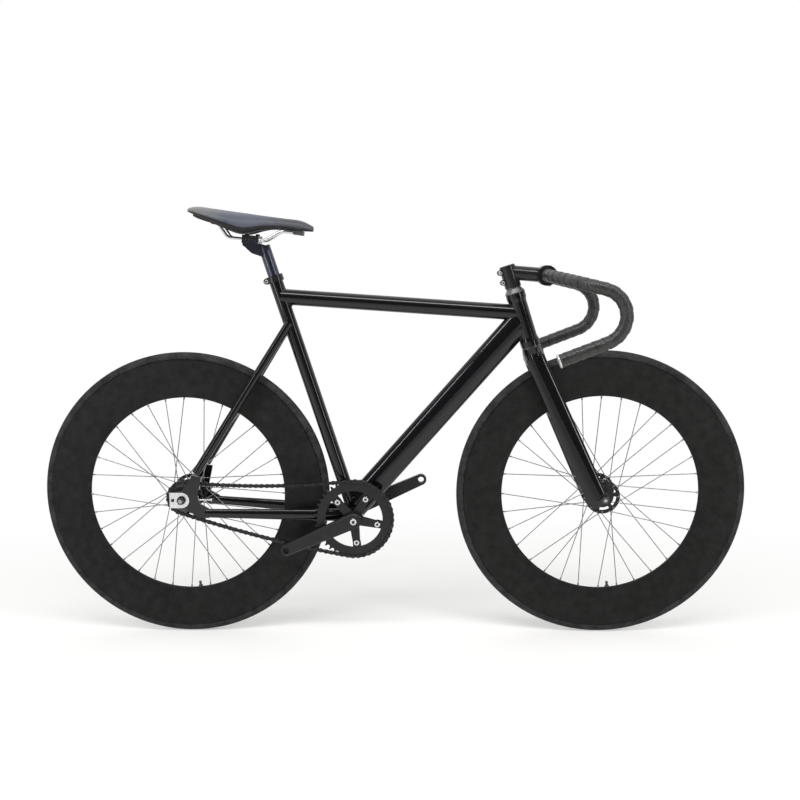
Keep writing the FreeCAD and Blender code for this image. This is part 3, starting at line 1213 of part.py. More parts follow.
def fork():
    """Steerer and crown in one, and two straight aero blades that hold the front axle."""
    low = S.fork_length - S.crown_depth
    length = STEM_TOP - low - S.steerer_recess
    outer = cylinder("steerer_outer", S.steerer_radius, length, steer(low), STEER_UP)
    bore = cylinder("steerer_bore", S.steerer_radius - S.steerer_wall, length, steer(S.fork_length), STEER_UP)
    width, depth = S.crown_width / 2, S.crown_length / 2
    rounds = [Part.Wire(Part.makeCircle(float(S.crown_top_radius), steer(S.fork_length), STEER_UP)),
              oval(steer(S.fork_length - S.crown_shoulder), STEER_UP, Y_AXIS, S.crown_shoulder_width / 2,
                   depth),
              oval(steer(low), STEER_UP, Y_AXIS, width, depth)]
    crown = feature("crown_form", Part.makeLoft(rounds, True, True))
    node(cut("crown", fuse("crown_whole", crown, outer), bore), "fork_crown")

    for name, side in SIDES:
        out = Y_AXIS * side
        top = steer(low) + out * float(S.blade_top_y)
        bottom = (FRONT_AXLE - STEER_AHEAD * float(S.blade_setback)
                  + out * float(S.front_drop_y + S.fork_end_thickness / 2))
        run = (bottom - top).normalize()
        across = run.cross(STEER_AHEAD).normalize()
        start = top - run * float(S.crown_overlap)
        skin = Part.makeLoft([
            oval(start, run, across, S.blade_top_width / 2, S.blade_top_chord / 2),
            oval(bottom, run, across, S.blade_width / 2, S.blade_chord / 2),
            oval(bottom + run * float(S.blade_tip), run, across, S.blade_tip_width / 2,
                 S.blade_tip_chord / 2)], True, True)
        wall = float(S.blade_wall)
        core = Part.makeLoft([
            oval(start, run, across, S.blade_top_width / 2 - wall, S.blade_top_chord / 2 - wall),
            oval(bottom - run * float(S.blade_chord), run, across, S.blade_width / 2 - wall,
                 S.blade_chord / 2 - wall)], True, True)
        hollow = feature("blade_hollow_" + name, skin.cut(core))
        boss = cylinder("blade_boss_" + name, S.blade_boss, S.fork_end_thickness,
                        FRONT_AXLE + out * float(S.front_drop_y), out)
        hole = cylinder("blade_axle_hole_" + name, S.front_axle_radius + S.running_gap, S.front_drop_y * 2,
                        FRONT_AXLE, out)
        whole = fuse("blade_whole_" + name, hollow, boss)
        trims = []
        for trim, y in (("inner", S.front_drop_y), ("outer", S.front_drop_y * 2 + S.fork_end_thickness)):
            trims.append(cylinder("blade_face_%s_%s" % (trim, name), S.washer_radius + S.fit_gap,
                                  S.front_drop_y, FRONT_AXLE + out * float(y), out * -1))
        node(cut("blade_" + name, whole, hole, crown, *trims), "fork_blade_" + name)


def headset():
    """Crown race, cone-shaped cover with a spacer, and top cap on the steerer."""
    bore = S.steerer_radius
    race = turned("race", ring(S.race_radius, bore, 0, S.race_height))
    node(moved(race, steer(S.fork_length), STEER_TURN), "crown_race")
    edge, height = S.cover_edge, S.cover_height
    cover = turned("cover", [
        (bore, 0), (S.head_end_radius, 0), (S.head_end_radius, edge), (S.cover_top_radius, height),
        (S.spacer_radius, height), (S.spacer_radius, height + S.spacer_height),
        (bore, height + S.spacer_height)])
    node(moved(cover, steer(COVER_LOW), STEER_TURN), "headset_cover")
    cap = turned("cap", [
        (0, 0), (S.top_cap_radius, 0), (S.top_cap_radius, S.top_cap_height / 2),
        (S.top_cap_radius - S.top_cap_height / 2, S.top_cap_height), (0, S.top_cap_height)])
    node(moved(cap, steer(STEM_TOP), STEER_TURN), "headset_top_cap")


def stem():
    """A clamp on the steerer, a round extension and a two-piece clamp on the bar."""
    start = steer(STEM_TOP - S.stem_drop)
    ahead = (BAR - start).normalize()
    above = Y_AXIS.cross(ahead).normalize() * -1
    turn = FreeCAD.Rotation(X_AXIS, ahead)
    reach = S.put("stem_length", (BAR - start).Length)
    clamp = cylinder("stem_clamp", S.stem_clamp_radius, S.stem_height, steer(STEM_LOW), STEER_UP)
    neck = cylinder("stem_neck", S.stem_radius, reach, start, ahead)
    half = S.bar_clamp_width / 2
    grip = cylinder("bar_grip", S.bar_clamp_radius, half * 2, BAR - Y_AXIS * float(half), Y_AXIS)
    bar_bore = cylinder("bar_bore", S.bar_sleeve, half * 4, BAR - Y_AXIS * float(half * 2), Y_AXIS)
    steerer_bore = cylinder("stem_bore", S.steerer_radius, S.stem_height * 2,
                            steer(STEM_LOW - S.stem_height / 2), STEER_UP)
    size = S.bar_clamp_radius * 2
    front = box("face_side", size, half * 4, size * 2,
                BAR + ahead * float(size / 2 - S.face_gap / 2), turn)
    rear = box("neck_side", size, half * 4, size * 2, BAR - ahead * float(size / 2 - S.face_gap / 2), turn)
    bosses, bolts, boss_holes = [], [], []
    middle = STEM_LOW + S.stem_height / 2
    for name, share in (("upper", 0.5), ("lower", -0.5)):
        height = middle + S.stem_bolt_lift + S.stem_bolt_spacing * share
        centre = steer(height) - STEER_AHEAD * float(S.stem_boss_offset)
        low = centre - Y_AXIS * float(half / 2)
        bosses.append(cylinder("stem_boss_" + name, S.stem_boss_radius, half, low, Y_AXIS))
        shank = cylinder("stem_bolt_" + name, S.stem_bolt_radius, half, low, Y_AXIS)
        head = cylinder("stem_bolt_head_" + name, S.stem_bolt_head, S.stem_bolt_cap, low, Y_AXIS * -1)
        bolts.append(fuse("stem_bolt_set_" + name, shank, head))
        boss_holes.append(shank)
    face_holes = []
    for number, (y, z) in enumerate(((1, 1), (1, -1), (-1, 1), (-1, -1))):
        centre = BAR + Y_AXIS * (y * float(S.face_bolt_y)) + above * (z * float(S.face_bolt_z))
        depth = S.bar_clamp_radius / 3
        tip = centre - ahead * float(depth)
        shank = cylinder("face_bolt_%d" % number, S.stem_bolt_radius, depth * 2, tip, ahead)
        head = cylinder("face_bolt_head_%d" % number, S.stem_bolt_head, S.stem_bolt_cap,
                        centre + ahead * float(depth), ahead)
        bolts.append(fuse("face_bolt_set_%d" % number, shank, head))
        face_holes += [shank, head]
    slot = box("stem_slot", S.stem_clamp_radius * 2, S.face_gap, S.stem_height * 2,
               steer(middle) - STEER_AHEAD * float(S.stem_clamp_radius + S.stem_radius), STEER_TURN)
    whole = fuse("stem_whole", clamp, neck, grip, *bosses)
    tools = [steerer_bore, bar_bore, front, slot] + boss_holes + face_holes
    node(cut("stem", whole, *tools), "stem")
    node(cut("face", grip, bar_bore, rear, *face_holes), "stem_faceplate")
    node(group("stem_bolts", *bolts), "stem_bolts")


# Handlebar

def bar_line(side):
    """Half of the bar, from the stem: flat, swept forward, then down and back in a hook."""
    flat = BAR + Y_AXIS * (side * float(S.bar_flat))
    shoulder = BAR + Vector(float(S.bar_reach), side * float(S.bar_half_width), -float(S.bar_shoulder_drop))
    hook_run = float(S.bar_hook_x - S.bar_reach)
    hook = shoulder + Vector(hook_run, 0, -hook_run * float(S.bar_ramp))
    end = BAR + Vector(float(S.bar_end_x), side * float(S.bar_half_width), -float(S.bar_drop))
    return rounded([BAR, flat, shoulder, hook, end],
                   [S.bar_flat_bend, S.bar_shoulder_bend, S.bar_hook_bend])


def on_line(wire, run):
    """The place and heading a distance along a wire."""
    *edges, last = wire.OrderedEdges
    for edge in edges:
        if run <= edge.Length:
            break
        run -= edge.Length
    else:
        edge = last
    at = edge.getParameterByLength(min(run, edge.Length))
    return edge.valueAt(at), edge.tangentAt(at)


# Where a turn of tape has a section: shares of its pitch, and of the lap that it falls by
TAPE_SHARES = (0, 0.32, 0.64, 0.96)


def tape(name, side):
    """Overlapping turns of tape from the stem to the bar's end, as a sleeve with a step at each turn."""
    line = bar_line(side)
    start = float(S.bar_sleeve_width / 2 + S.tape_gap)
    turns = round((line.Length - start) / float(S.tape_pitch))
    pitch = (line.Length - start) / turns
    bore = float(S.bar_radius + S.tape_gap)
    outer, inner = [], []
    upright = Z_AXIS
    for number in range(turns):
        for share in TAPE_SHARES:
            radius = float(S.tape_radius) - float(S.tape_lap) * share
            place, flow = on_line(line, start + (number + share) * pitch)
            upright = (upright - flow * upright.dot(flow)).normalize()
            for rings, size in ((outer, radius), (inner, bore)):
                turn = Part.Circle(place, flow, size)
                turn.XAxis = upright
                rings.append(Part.Wire(turn.toShape()))
    sleeve = Part.makeLoft(outer, True, True).cut(Part.makeLoft(inner, True, True))
    node(feature("tape_" + name, sleeve), "bar_tape_" + name)


def handlebar():
    """The bent bar with its thicker middle, its tape and the plugs in its ends."""
    halves, plugs = [], []
    for name, side in SIDES:
        line = bar_line(side)
        outer, inner = pipe(line, S.bar_radius), pipe(line, S.bar_radius - S.bar_wall)
        halves.append(outer.cut(inner))
        place, flow = on_line(line, line.Length)
        cap = cylinder("plug_cap_" + name, S.tape_radius, S.plug_height, place, flow)
        stub = cylinder("plug_stub_" + name, S.bar_radius - S.bar_wall - S.plug_gap, S.plug_depth, place,
                        flow * -1)
        plugs.append(fuse("plug_" + name, cap, stub))
        tape(name, side)
    sleeve_low = BAR - Y_AXIS * float(S.bar_sleeve_width / 2)
    sleeve = Part.makeCylinder(float(S.bar_sleeve), float(S.bar_sleeve_width), sleeve_low, Y_AXIS)
    core = Part.makeCylinder(float(S.bar_radius), float(S.bar_sleeve_width), sleeve_low, Y_AXIS)
    node(feature("bar", halves[0].multiFuse([halves[1], sleeve.cut(core)])), "handlebar")
    node(group("plugs", *plugs), "bar_end_plugs")


def build():
    """Every piece in the order that it is put together."""
    head_blank = head_tube()
    shell_outer, seat_outer, gusset = main_triangle(head_blank)
    chain_tugs(rear_triangle(shell_outer, seat_outer, gusset))
    axle("rear_axle", REAR_AXLE, S.rear_axle_radius, S.rear_hub_half, S.rear_drop_y,
         S.dropout_thickness + S.tug_thickness)
    axle("front_axle", FRONT_AXLE, S.front_axle_radius, S.front_hub_half, S.front_drop_y,
         S.fork_end_thickness)
    between = 360 / float(S.spokes_per_flange) / 4
    wheel("front", FRONT_AXLE, S.front_flange_y, S.front_hub_half, S.front_axle_radius, between - 90)
    wheel("rear", REAR_AXLE, S.rear_flange_y, S.rear_hub_half, S.rear_axle_radius, between - 90)
    on_ring, on_cog = chain()
    sprocket(on_cog)
    chainring(on_ring, cranks())
    seat_collar(seat_outer)
    seatpost()
    saddle()
    fork()
    headset()
    stem()
    handlebar()
    doc.recompute()


def write():
    """Check every object, then write each piece to its own file."""
    failed = [piece.Name for piece in doc.Objects if "Invalid" in piece.State or "Error" in piece.State]
    wrong = [piece.Label for piece in NODES if piece.Shape.isNull() or not piece.Shape.isValid()]
    if failed or wrong:
        raise RuntimeError("failed: %s, not valid: %s" % (failed, wrong))
    os.makedirs("parts", exist_ok=True)
    for piece in NODES:
        print("%-24s %3d solids %10.0f mm3" % (piece.Label, len(piece.Shape.Solids), piece.Shape.Volume))
        piece.Shape.exportStep("parts/%s.step" % piece.Label)


build()
write()
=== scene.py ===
"""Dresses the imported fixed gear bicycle: finishes, bar tape, saddle, bolts, welds and a studio."""

import bisect
import math

import bmesh
import bpy
from bpy.props import FloatProperty, FloatVectorProperty, IntProperty, PointerProperty
from mathutils import Matrix, Vector


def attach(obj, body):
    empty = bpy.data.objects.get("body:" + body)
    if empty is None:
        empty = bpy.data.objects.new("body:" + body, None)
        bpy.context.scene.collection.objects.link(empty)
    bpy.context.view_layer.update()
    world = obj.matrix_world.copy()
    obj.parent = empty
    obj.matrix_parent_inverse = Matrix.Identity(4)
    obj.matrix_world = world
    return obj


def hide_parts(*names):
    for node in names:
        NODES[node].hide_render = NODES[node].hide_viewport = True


bl_info = {
    "name": "Fixed gear bicycle",
    "version": (1, 0, 0),
    "blender": (4, 5, 0),
    "location": "View3D > Sidebar > Bicycle",
    "description": "Finishes, bar tape, saddle, bolts, welds and studio for a fixed gear bicycle",
    "category": "Object",
}

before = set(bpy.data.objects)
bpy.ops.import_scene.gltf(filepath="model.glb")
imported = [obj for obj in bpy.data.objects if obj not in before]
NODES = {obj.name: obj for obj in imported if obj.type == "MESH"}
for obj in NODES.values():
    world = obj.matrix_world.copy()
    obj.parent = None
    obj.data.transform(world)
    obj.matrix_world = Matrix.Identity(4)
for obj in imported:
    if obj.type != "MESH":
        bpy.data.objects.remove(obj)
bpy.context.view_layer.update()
SIDES = (("left", 1), ("right", -1))
ACROSS = Vector((0, 1, 0))

# Places and directions of the solids, in metres
REAR_AXLE = Vector((-0.482, 0.0, 0.334))
FRONT_AXLE = Vector((0.482, 0.0, 0.334))
BRACKET = Vector((-0.08911, 0.0, 0.284))
STEER_FOOT = Vector((0.43095, 0.0, 0.318))
STEER_UP, STEER_AHEAD = Vector((-0.29904, 0.0, 0.95424)), Vector((0.95424, 0.0, 0.29904))
SEAT_UP = Vector((-0.30403, 0.0, 0.95266))
SEAT_TUBE_LENGTH = 0.585
SEAT_TOP = BRACKET + SEAT_UP * SEAT_TUBE_LENGTH
CLAMP = SEAT_TOP + Vector((-0.0479, 0.0, 0.081))
RAIL_AHEAD, RAIL_UP = Vector((0.99452, 0.0, -0.10453)), Vector((0.10453, 0.0, 0.99452))
# Heights on the steerer of the stem's top and of the start of its neck
STEM_TOP_RISE, NECK_RISE = 0.566, 0.553
BAR = STEER_FOOT + STEER_UP * STEM_TOP_RISE + Vector((0.0883, 0.0, -0.020))
STEM_AHEAD = (BAR - STEER_FOOT - STEER_UP * NECK_RISE).normalized()


def colour(name, description, value):
    """A colour that a user can change."""
    return FloatVectorProperty(name=name, description=description, subtype="COLOR", size=3, min=0, max=1,
                               default=value)


def length(name, description, value):
    """A length that a user can change, in metres."""
    return FloatProperty(name=name, description=description, default=value, min=0, unit="LENGTH", precision=4)


class BicycleFinish(bpy.types.PropertyGroup):
    """Colours of the bicycle's finishes"""
    lacquer: colour("Lacquer", "Gloss lacquer of frame and fork", (0.003, 0.003, 0.0038))
    satin: colour("Satin black", "Anodised parts", (0.008, 0.008, 0.0092))
    rim: colour("Rim", "Deep rims", (0.0065, 0.0065, 0.0062))
    tyre: colour("Tyre", "Tyre rubber", (0.008, 0.008, 0.0082))
    tape: colour("Bar tape", "Padded tape on the bar", (0.012, 0.0118, 0.0115))
    cover: colour("Saddle cover", "Grained cover of the saddle", (0.045, 0.048, 0.055))
    steel: colour("Bright steel", "Plated steel parts", (0.74, 0.74, 0.75))


class BicycleSizes(bpy.types.PropertyGroup):
    """Sizes of the pieces that the scene adds"""
    tape_pitch: length("Tape pitch", "Advance of the tape in one turn", 0.021)
    tape_width: length("Tape width", "Width of the tape", 0.0275)
    tape_thickness: length("Tape thickness", "Height of the wound tape over the bar", 0.0023)
    band_width: length("Band width", "Width of the film that ends the tape", 0.012)
    bead: length("Weld bead", "Half width of a weld bead", 0.0026)
    stitch: length("Stitch", "Length of a stitch along the saddle's seam", 0.0034)
    saddle_rings: IntProperty(name="Saddle rings", description="Sections along the saddle", default=60, min=12)


class BicycleStudio(bpy.types.PropertyGroup):
    """Camera and light"""
    eye: FloatVectorProperty(name="Eye", description="Place of the camera", subtype="TRANSLATION",
                             unit="LENGTH", default=(0.0553, -2.2163, 0.8822))
    yaw: FloatProperty(name="Yaw", description="Turn to the right", subtype="ANGLE", default=-0.0231471)
    pitch: FloatProperty(name="Pitch", description="Tilt upwards", subtype="ANGLE", default=-0.1424789)
    roll: FloatProperty(name="Roll", description="Turn about the view", subtype="ANGLE", default=-0.00668)
    lens: FloatProperty(name="Lens", description="Focal length in millimetres", default=43.645)
    floor: colour("Floor", "Pale studio floor", (0.965, 0.955, 0.93))


def settings():
    """The scene's own settings."""
    scene = bpy.context.scene
    return scene.bicycle_finish, scene.bicycle_sizes, scene.bicycle_studio


def sided(place, side):
    """A place given for the left, on either side."""
    x, y, z = place
    return Vector((x, y * side, z))


def turns(count):
    """Angles of a full turn in equal steps."""
    return [number * 2 * math.pi / count for number in range(count)]


def add_object(name, data):
    """A new object in the scene."""
    made = bpy.data.objects.new(name, data)
    bpy.context.scene.collection.objects.link(made)
    return made


def new_node(tree, kind, inputs=None, **attributes):
    """A node with its attributes set, and each input set to a value or linked to a socket."""
    made = tree.nodes.new(kind)
    for name, value in attributes.items():
        setattr(made, name, value)
    for name, value in (inputs or {}).items():
        if isinstance(value, bpy.types.NodeSocket):
            tree.links.new(value, made.inputs[name])
        else:
            made.inputs[name].default_value = value
    return made


# Materials

class Finish:
    """A node material under construction."""

    def __init__(self, name, **sockets):
        self.material = bpy.data.materials.new(name)
        self.material.use_nodes = True
        self.tree = self.material.node_tree
        self.surface = self.tree.nodes["Principled BSDF"]
        for socket, value in sockets.items():
            self.surface.inputs[socket.replace("_", " ")].default_value = value
        self.place = self.add("ShaderNodeTexCoord").outputs["Object"]

    def add(self, kind, inputs=None, **attributes):
        return new_node(self.tree, kind, inputs, **attributes)

    def link(self, source, socket):
        self.tree.links.new(source, self.surface.inputs[socket])

    def math(self, operation, first, second=0.0):
        return self.add("ShaderNodeMath", {0: first, 1: second}, operation=operation).outputs[0]

    def noise(self, scale, detail=4.0, roughness=0.55, place=None):
        return self.add("ShaderNodeTexNoise", {"Vector": place or self.place, "Scale": scale, "Detail": detail,
                                               "Roughness": roughness}).outputs["Fac"]

    def cells(self, scale, output="Distance"):
        return self.add("ShaderNodeTexVoronoi", {"Vector": self.place, "Scale": scale}).outputs[output]

    def range(self, value, low, high, start=0.3, end=0.7):
        return self.add("ShaderNodeMapRange", {"Value": value, "From Min": start, "From Max": end,
                                               "To Min": low, "To Max": high}).outputs["Result"]

    def mix(self, share, first, second):
        first, second = (value if isinstance(value, bpy.types.NodeSocket) else (*value, 1.0)
                         for value in (first, second))
        return self.add("ShaderNodeMix", {0: share, 6: first, 7: second}, data_type="RGBA").outputs[2]

    def bump(self, height, distance, strength=1.0, below=None):
        inputs = {"Height": height, "Distance": distance, "Strength": strength}
        if below is not None:
            inputs["Normal"] = below
        return self.add("ShaderNodeBump", inputs).outputs["Normal"]

    def about(self, axle):
        """Radius from an axle that lies along Y, the angle about it and the place along it."""
        moved = self.add("ShaderNodeVectorMath", {0: self.place, 1: axle}, operation="SUBTRACT").outputs[0]
        parts = self.add("ShaderNodeSeparateXYZ", {0: moved})
        flat = self.add("ShaderNodeCombineXYZ", {0: parts.outputs[0], 2: parts.outputs[2]}).outputs[0]
        radius = self.add("ShaderNodeVectorMath", {0: flat}, operation="LENGTH").outputs["Value"]
        return radius, self.math("ARCTAN2", parts.outputs[2], parts.outputs[0]), parts.outputs[1]

    def dress(self, cloud, base, other, grain, rough, normal):
        """Link a colour that a cloud turns to another, a roughness that follows a grain, and a normal."""
        self.link(self.mix(self.range(cloud, 0.0, 1.0), base, other), "Base Color")
        self.link(self.range(grain, *rough), "Roughness")
        self.link(normal, "Normal")


def lighter(value, share):
    """A colour brought a share of the way to white."""
    return tuple(part + (1 - part) * share for part in value)


def plain(name, base, spread, rough, grain, bump, **sockets):
    """A finish with cloudy colour, uneven roughness and a fine grain."""
    made = Finish(name, **sockets)
    fine = made.noise(grain, 5)
    made.dress(made.noise(grain / 12, 3), base, lighter(base, spread), fine, rough, made.bump(fine, bump))
    return made


def lacquer_finish(finish):
    """Deep gloss lacquer: flakes under a clear coat with a trace of orange peel and dust."""
    base = tuple(finish.lacquer)
    made = Finish("gloss_lacquer", Coat_Weight=0.8, Coat_Roughness=0.03, Specular_IOR_Level=0.05)
    sparkle = made.add("ShaderNodeSeparateColor", {0: made.cells(1600.0, "Color")}).outputs[0]
    lit = made.range(sparkle, 0.0, 0.3, 0.92, 1.0)
    made.link(made.mix(lit, base, lighter(base, 0.03)), "Base Color")
    dust = made.noise(60, 6, 0.7)
    made.link(made.range(dust, 0.24, 0.36), "Roughness")
    peel = made.bump(made.noise(260, 2), 0.000012)
    made.link(peel, "Normal")
    made.link(peel, "Coat Normal")
    return made.material


def rim_finish(name, axle, finish):
    """Matte black rim: fine lathe lines around the axle, a soft weave and rubbed edges."""
    base = tuple(finish.rim)
    made = Finish(name, Specular_IOR_Level=0.15)
    radius, _, _ = made.about(axle)
    lathe = made.math("SINE", made.math("MULTIPLY", radius, 5200.0))
    weave = made.bump(made.cells(420.0), 0.00006, 0.7, made.bump(lathe, 0.00003))
    cloud, scuff = made.noise(55, 4, 0.6), made.noise(150, 6, 0.7)
    made.dress(cloud, base, lighter(base, 0.008), scuff, (0.42, 0.58), weave)
    return made.material


def tyre_finish(name, axle, finish):
    """Tyre rubber: a smooth tread, ribbed shoulders and a dusty bloom on the side walls."""
    base = tuple(finish.tyre)
    made = Finish(name, Specular_IOR_Level=0.15)
    radius, angle, across = made.about(axle)
    ribs = made.math("SINE", made.math("MULTIPLY", angle, 900.0))
    shoulder = made.range(made.math("ABSOLUTE", across), 0.0, 1.0, 0.0045, 0.0075)
    lines = made.math("SINE", made.math("MULTIPLY", radius, 4200.0))
    bloom = made.noise(40, 5, 0.7)
    height = made.math("ADD", made.math("MULTIPLY", ribs, shoulder), made.math("MULTIPLY", lines, 0.3))
    normal = made.bump(height, 0.00012, 0.8, made.bump(made.noise(900, 3), 0.00005))
    made.dress(bloom, base, lighter(base, 0.035), bloom, (0.55, 0.75), normal)
    return made.material


def brushed_finish(name, base, rough, stretch, **sockets):
    """Metal with fine scratches drawn out along one direction, and faint stains."""
    made = Finish(name, Metallic=1.0, **sockets)
    drawn = made.add("ShaderNodeMapping", {"Vector": made.place, "Scale": stretch}).outputs[0]
    scratch = made.noise(1.0, 6, 0.7, drawn)
    stained = tuple(part * 0.8 for part in base)
    made.dress(made.noise(70, 4), base, stained, scratch, rough, made.bump(scratch, 0.00002))
    return made.material


def chain_finish():
    """Oiled chain steel: bright rubbed plates with dark oil in patches."""
    made = Finish("chain_steel", Metallic=0.9)
    oil = made.noise(220, 5, 0.7)
    dark, rubbed = (0.009, 0.009, 0.0095), (0.06, 0.06, 0.062)
    made.dress(oil, dark, rubbed, oil, (0.5, 0.25), made.bump(made.noise(1500, 3), 0.00003))
    return made.material


# Painted light on the saddle cover: a lighter, warmer tint at its tail where light falls, and a painted bluish
# sheen where it is sat on
COVER_TAIL_PAINTED_LIGHT, COVER_SEAT_PAINTED_SHEEN = (0.135, 0.13, 0.117), (0.06, 0.07, 0.098)
# Runs from the tail over which the painted tint turns from tail to seat, and from seat to the cover's own colour
# at the nose
TAIL_TO_SEAT, SEAT_TO_NOSE = (0.02, 0.09), (0.13, 0.22)


def cover_finish(finish):
    """Grained saddle cover with a soft sheen, smoother where it is sat on; its lighter tail and bluish seat are
    painted light.
    """
    base = tuple(finish.cover)
    made = Finish("saddle_cover", Sheen_Weight=0.12, Sheen_Roughness=0.4, Specular_IOR_Level=0.35)
    worn = made.noise(22, 4, 0.6)
    along = made.add("ShaderNodeSeparateXYZ", {0: made.place}).outputs[0]
    seat = made.range(along, 0.0, 1.0, *(SADDLE_TAIL.x + run for run in TAIL_TO_SEAT))
    nose = made.range(along, 0.0, 1.0, *(SADDLE_TAIL.x + run for run in SEAT_TO_NOSE))
    # Painted light: the lit tail tint and the painted bluish sheen of the seat turn to the cover's own colour
    # towards the nose
    panel = made.mix(nose, made.mix(seat, COVER_TAIL_PAINTED_LIGHT, COVER_SEAT_PAINTED_SHEEN), base)
    made.link(made.mix(made.range(worn, 0.0, 0.25), panel, lighter(base, 0.1)), "Base Color")
    made.link(made.range(worn, 0.36, 0.5), "Roughness")
    pebble = made.bump(made.cells(620.0), 0.00022, 0.8, made.bump(made.noise(1800, 3), 0.00004))
    made.link(pebble, "Normal")
    return made.material


def tape_finish(finish):
    """Cork-filled tape: fine pores, specks and a hand-polished sheen."""
    base = tuple(finish.tape)
    made = Finish("bar_tape", Specular_IOR_Level=0.5)
    specks = made.bump(made.cells(700.0), 0.00012, 0.6, made.bump(made.noise(2200, 2), 0.00003))
    cloud = made.noise(45, 5, 0.65)
    made.dress(cloud, base, lighter(base, 0.02), cloud, (0.34, 0.48), specks)
    return made.material


def paint(material, *names):
    """Give CAD nodes a finish."""
    for name in names:
        data = NODES[name].data
        data.materials.clear()
        data.materials.append(material)


# Meshes

def piece(name, mesh, material, body):
    """A finished piece that rides on a body."""
    made = add_object(name, mesh)
    mesh.materials.append(material)
    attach(made, body)
    return made


def skin(name, rings, closed_ends=True, wrap=True):
    """A mesh through rings of points, smooth shaded."""
    mesh = bpy.data.meshes.new(name)
    work = bmesh.new()
    rows = [[work.verts.new(point) for point in row] for row in rings]
    for first, second in zip(rows, rows[1:]):
        count = len(first)
        for number in range(count if wrap else count - 1):
            after = (number + 1) % count
            work.faces.new((first[number], first[after], second[after], second[number]))
    if closed_ends:
        work.faces.new(list(reversed(rows[0])))
        work.faces.new(rows[-1])
    bmesh.ops.recalc_face_normals(work, faces=work.faces)
    for face in work.faces:
        face.smooth = True
    work.to_mesh(mesh)
    work.free()
    return mesh


SCATTER_SEED = 7
# What each point carries after its place
POINT_FIELDS = ("axis", "heading", "size")


def scatter_tree():
    """Geometry nodes that put a template on every point, by the point's axis, heading and size."""
    tree = bpy.data.node_groups.new("scatter", "GeometryNodeTree")
    for name, flow, kind in (("Geometry", "INPUT", "Geometry"), ("Template", "INPUT", "Object"),
                             ("Material", "INPUT", "Material"), ("Spread", "INPUT", "Float"),
                             ("Geometry", "OUTPUT", "Geometry")):
        tree.interface.new_socket(name, in_out=flow, socket_type="NodeSocket" + kind)

    def add(kind, inputs=None, output=0, **attributes):
        return new_node(tree, kind, inputs, **attributes).outputs[output]

    def attribute(name):
        return add("GeometryNodeInputNamedAttribute", {"Name": name}, data_type="FLOAT_VECTOR")

    source = new_node(tree, "NodeGroupInput").outputs
    template = add("GeometryNodeObjectInfo", {"Object": source["Template"]}, "Geometry")
    upright = add("FunctionNodeAlignRotationToVector", {"Vector": attribute("axis")}, axis="Z")
    turned = add("FunctionNodeAlignRotationToVector", {"Rotation": upright, "Vector": attribute("heading")},
                 axis="X", pivot_axis="Z")
    low = add("ShaderNodeMath", {0: 1.0, 1: source["Spread"]}, operation="SUBTRACT")
    chance = add("FunctionNodeRandomValue", {"Seed": SCATTER_SEED, 2: low, 3: 1.0}, 1, data_type="FLOAT")
    size = add("ShaderNodeVectorMath", {0: attribute("size"), "Scale": chance}, operation="SCALE")
    placed = add("GeometryNodeInstanceOnPoints", {"Points": source["Geometry"], "Instance": template,
                                                  "Rotation": turned, "Scale": size})
    real = add("GeometryNodeRealizeInstances", {0: placed})
    painted = add("GeometryNodeSetMaterial", {"Geometry": real, "Material": source["Material"]})
    new_node(tree, "NodeGroupOutput", {0: painted})
    return tree


def scatter(name, points, template_mesh, material, spread=0.0):
    """A plain mesh of copies of a template: each point is (place, axis, heading, size)."""
    mesh = bpy.data.meshes.new(name + "_points")
    mesh.from_pydata([point[0] for point in points], [], [])
    for column, label in enumerate(POINT_FIELDS, 1):
        values = mesh.attributes.new(label, "FLOAT_VECTOR", "POINT").data
        for number, point in enumerate(points):
            values[number].vector = point[column]
    template, holder = add_object(name + "_template", template_mesh), add_object(name + "_holder", mesh)
    tree = scatter_tree()
    named = {socket.name: socket.identifier for socket in tree.interface.items_tree
             if socket.in_out == "INPUT"}
    modifier = holder.modifiers.new("scatter", "NODES")
    modifier.node_group = tree
    modifier[named["Template"]] = template
    modifier[named["Material"]] = material
    modifier[named["Spread"]] = spread
    bpy.context.view_layer.update()
    graph = bpy.context.evaluated_depsgraph_get()
    result = bpy.data.meshes.new_from_object(holder.evaluated_get(graph))
    for made in (holder, template):
        bpy.data.objects.remove(made)
    bpy.data.node_groups.remove(tree)
    result.name = name
    for label in POINT_FIELDS:
        if label in result.attributes:
            result.attributes.remove(result.attributes[label])
    return result


def merged(name, meshes):
    """Several meshes as one, with their material numbers."""
    work = bmesh.new()
    for mesh in meshes:
        work.from_mesh(mesh)
    result = bpy.data.meshes.new(name)
    work.to_mesh(result)
    work.free()
    return result


TURNED_SEGMENTS = 24


def turned_mesh(name, profile, count=TURNED_SEGMENTS):
    """A mesh turned about Z through (radius, height) points, with a flat cap at each end."""
    return skin(name, [[Vector((radius * math.cos(turn), radius * math.sin(turn), height))
                        for turn in turns(count)] for radius, height in profile])


# Faces of a bolt head nearer to its axis than this share of its radius lie in the socket, which gets a dark finish
# as painted shade
SOCKET_SHARE = 0.46
# From the foot of a bolt head to the floor of its socket: shares of its radius and height, and whether the
# ring is a hexagon
HEAD_SHARES = ((1.0, 0.0, False), (1.0, 0.8, False), (0.97, 0.93, False), (0.86, 1.0, False), (0.5, 1.0, True),
               (0.45, 0.94, True), (0.43, 0.3, True), (0.25, 0.22, False))


def bolt_head_mesh(name):
    """A round head of unit radius and height with a bevelled rim and a hexagonal socket."""
    rings = []
    for radius, height, hexagon in HEAD_SHARES:
        row = []
        for turn in turns(TURNED_SEGMENTS):
            fold = (turn + math.pi / 6) % (math.pi / 3) - math.pi / 6
            reach = radius * (math.cos(math.pi / 6) / math.cos(fold) if hexagon else 1)
            row.append(Vector((reach * math.cos(turn), reach * math.sin(turn), height)))
        rings.append(row)
    return skin(name, rings)


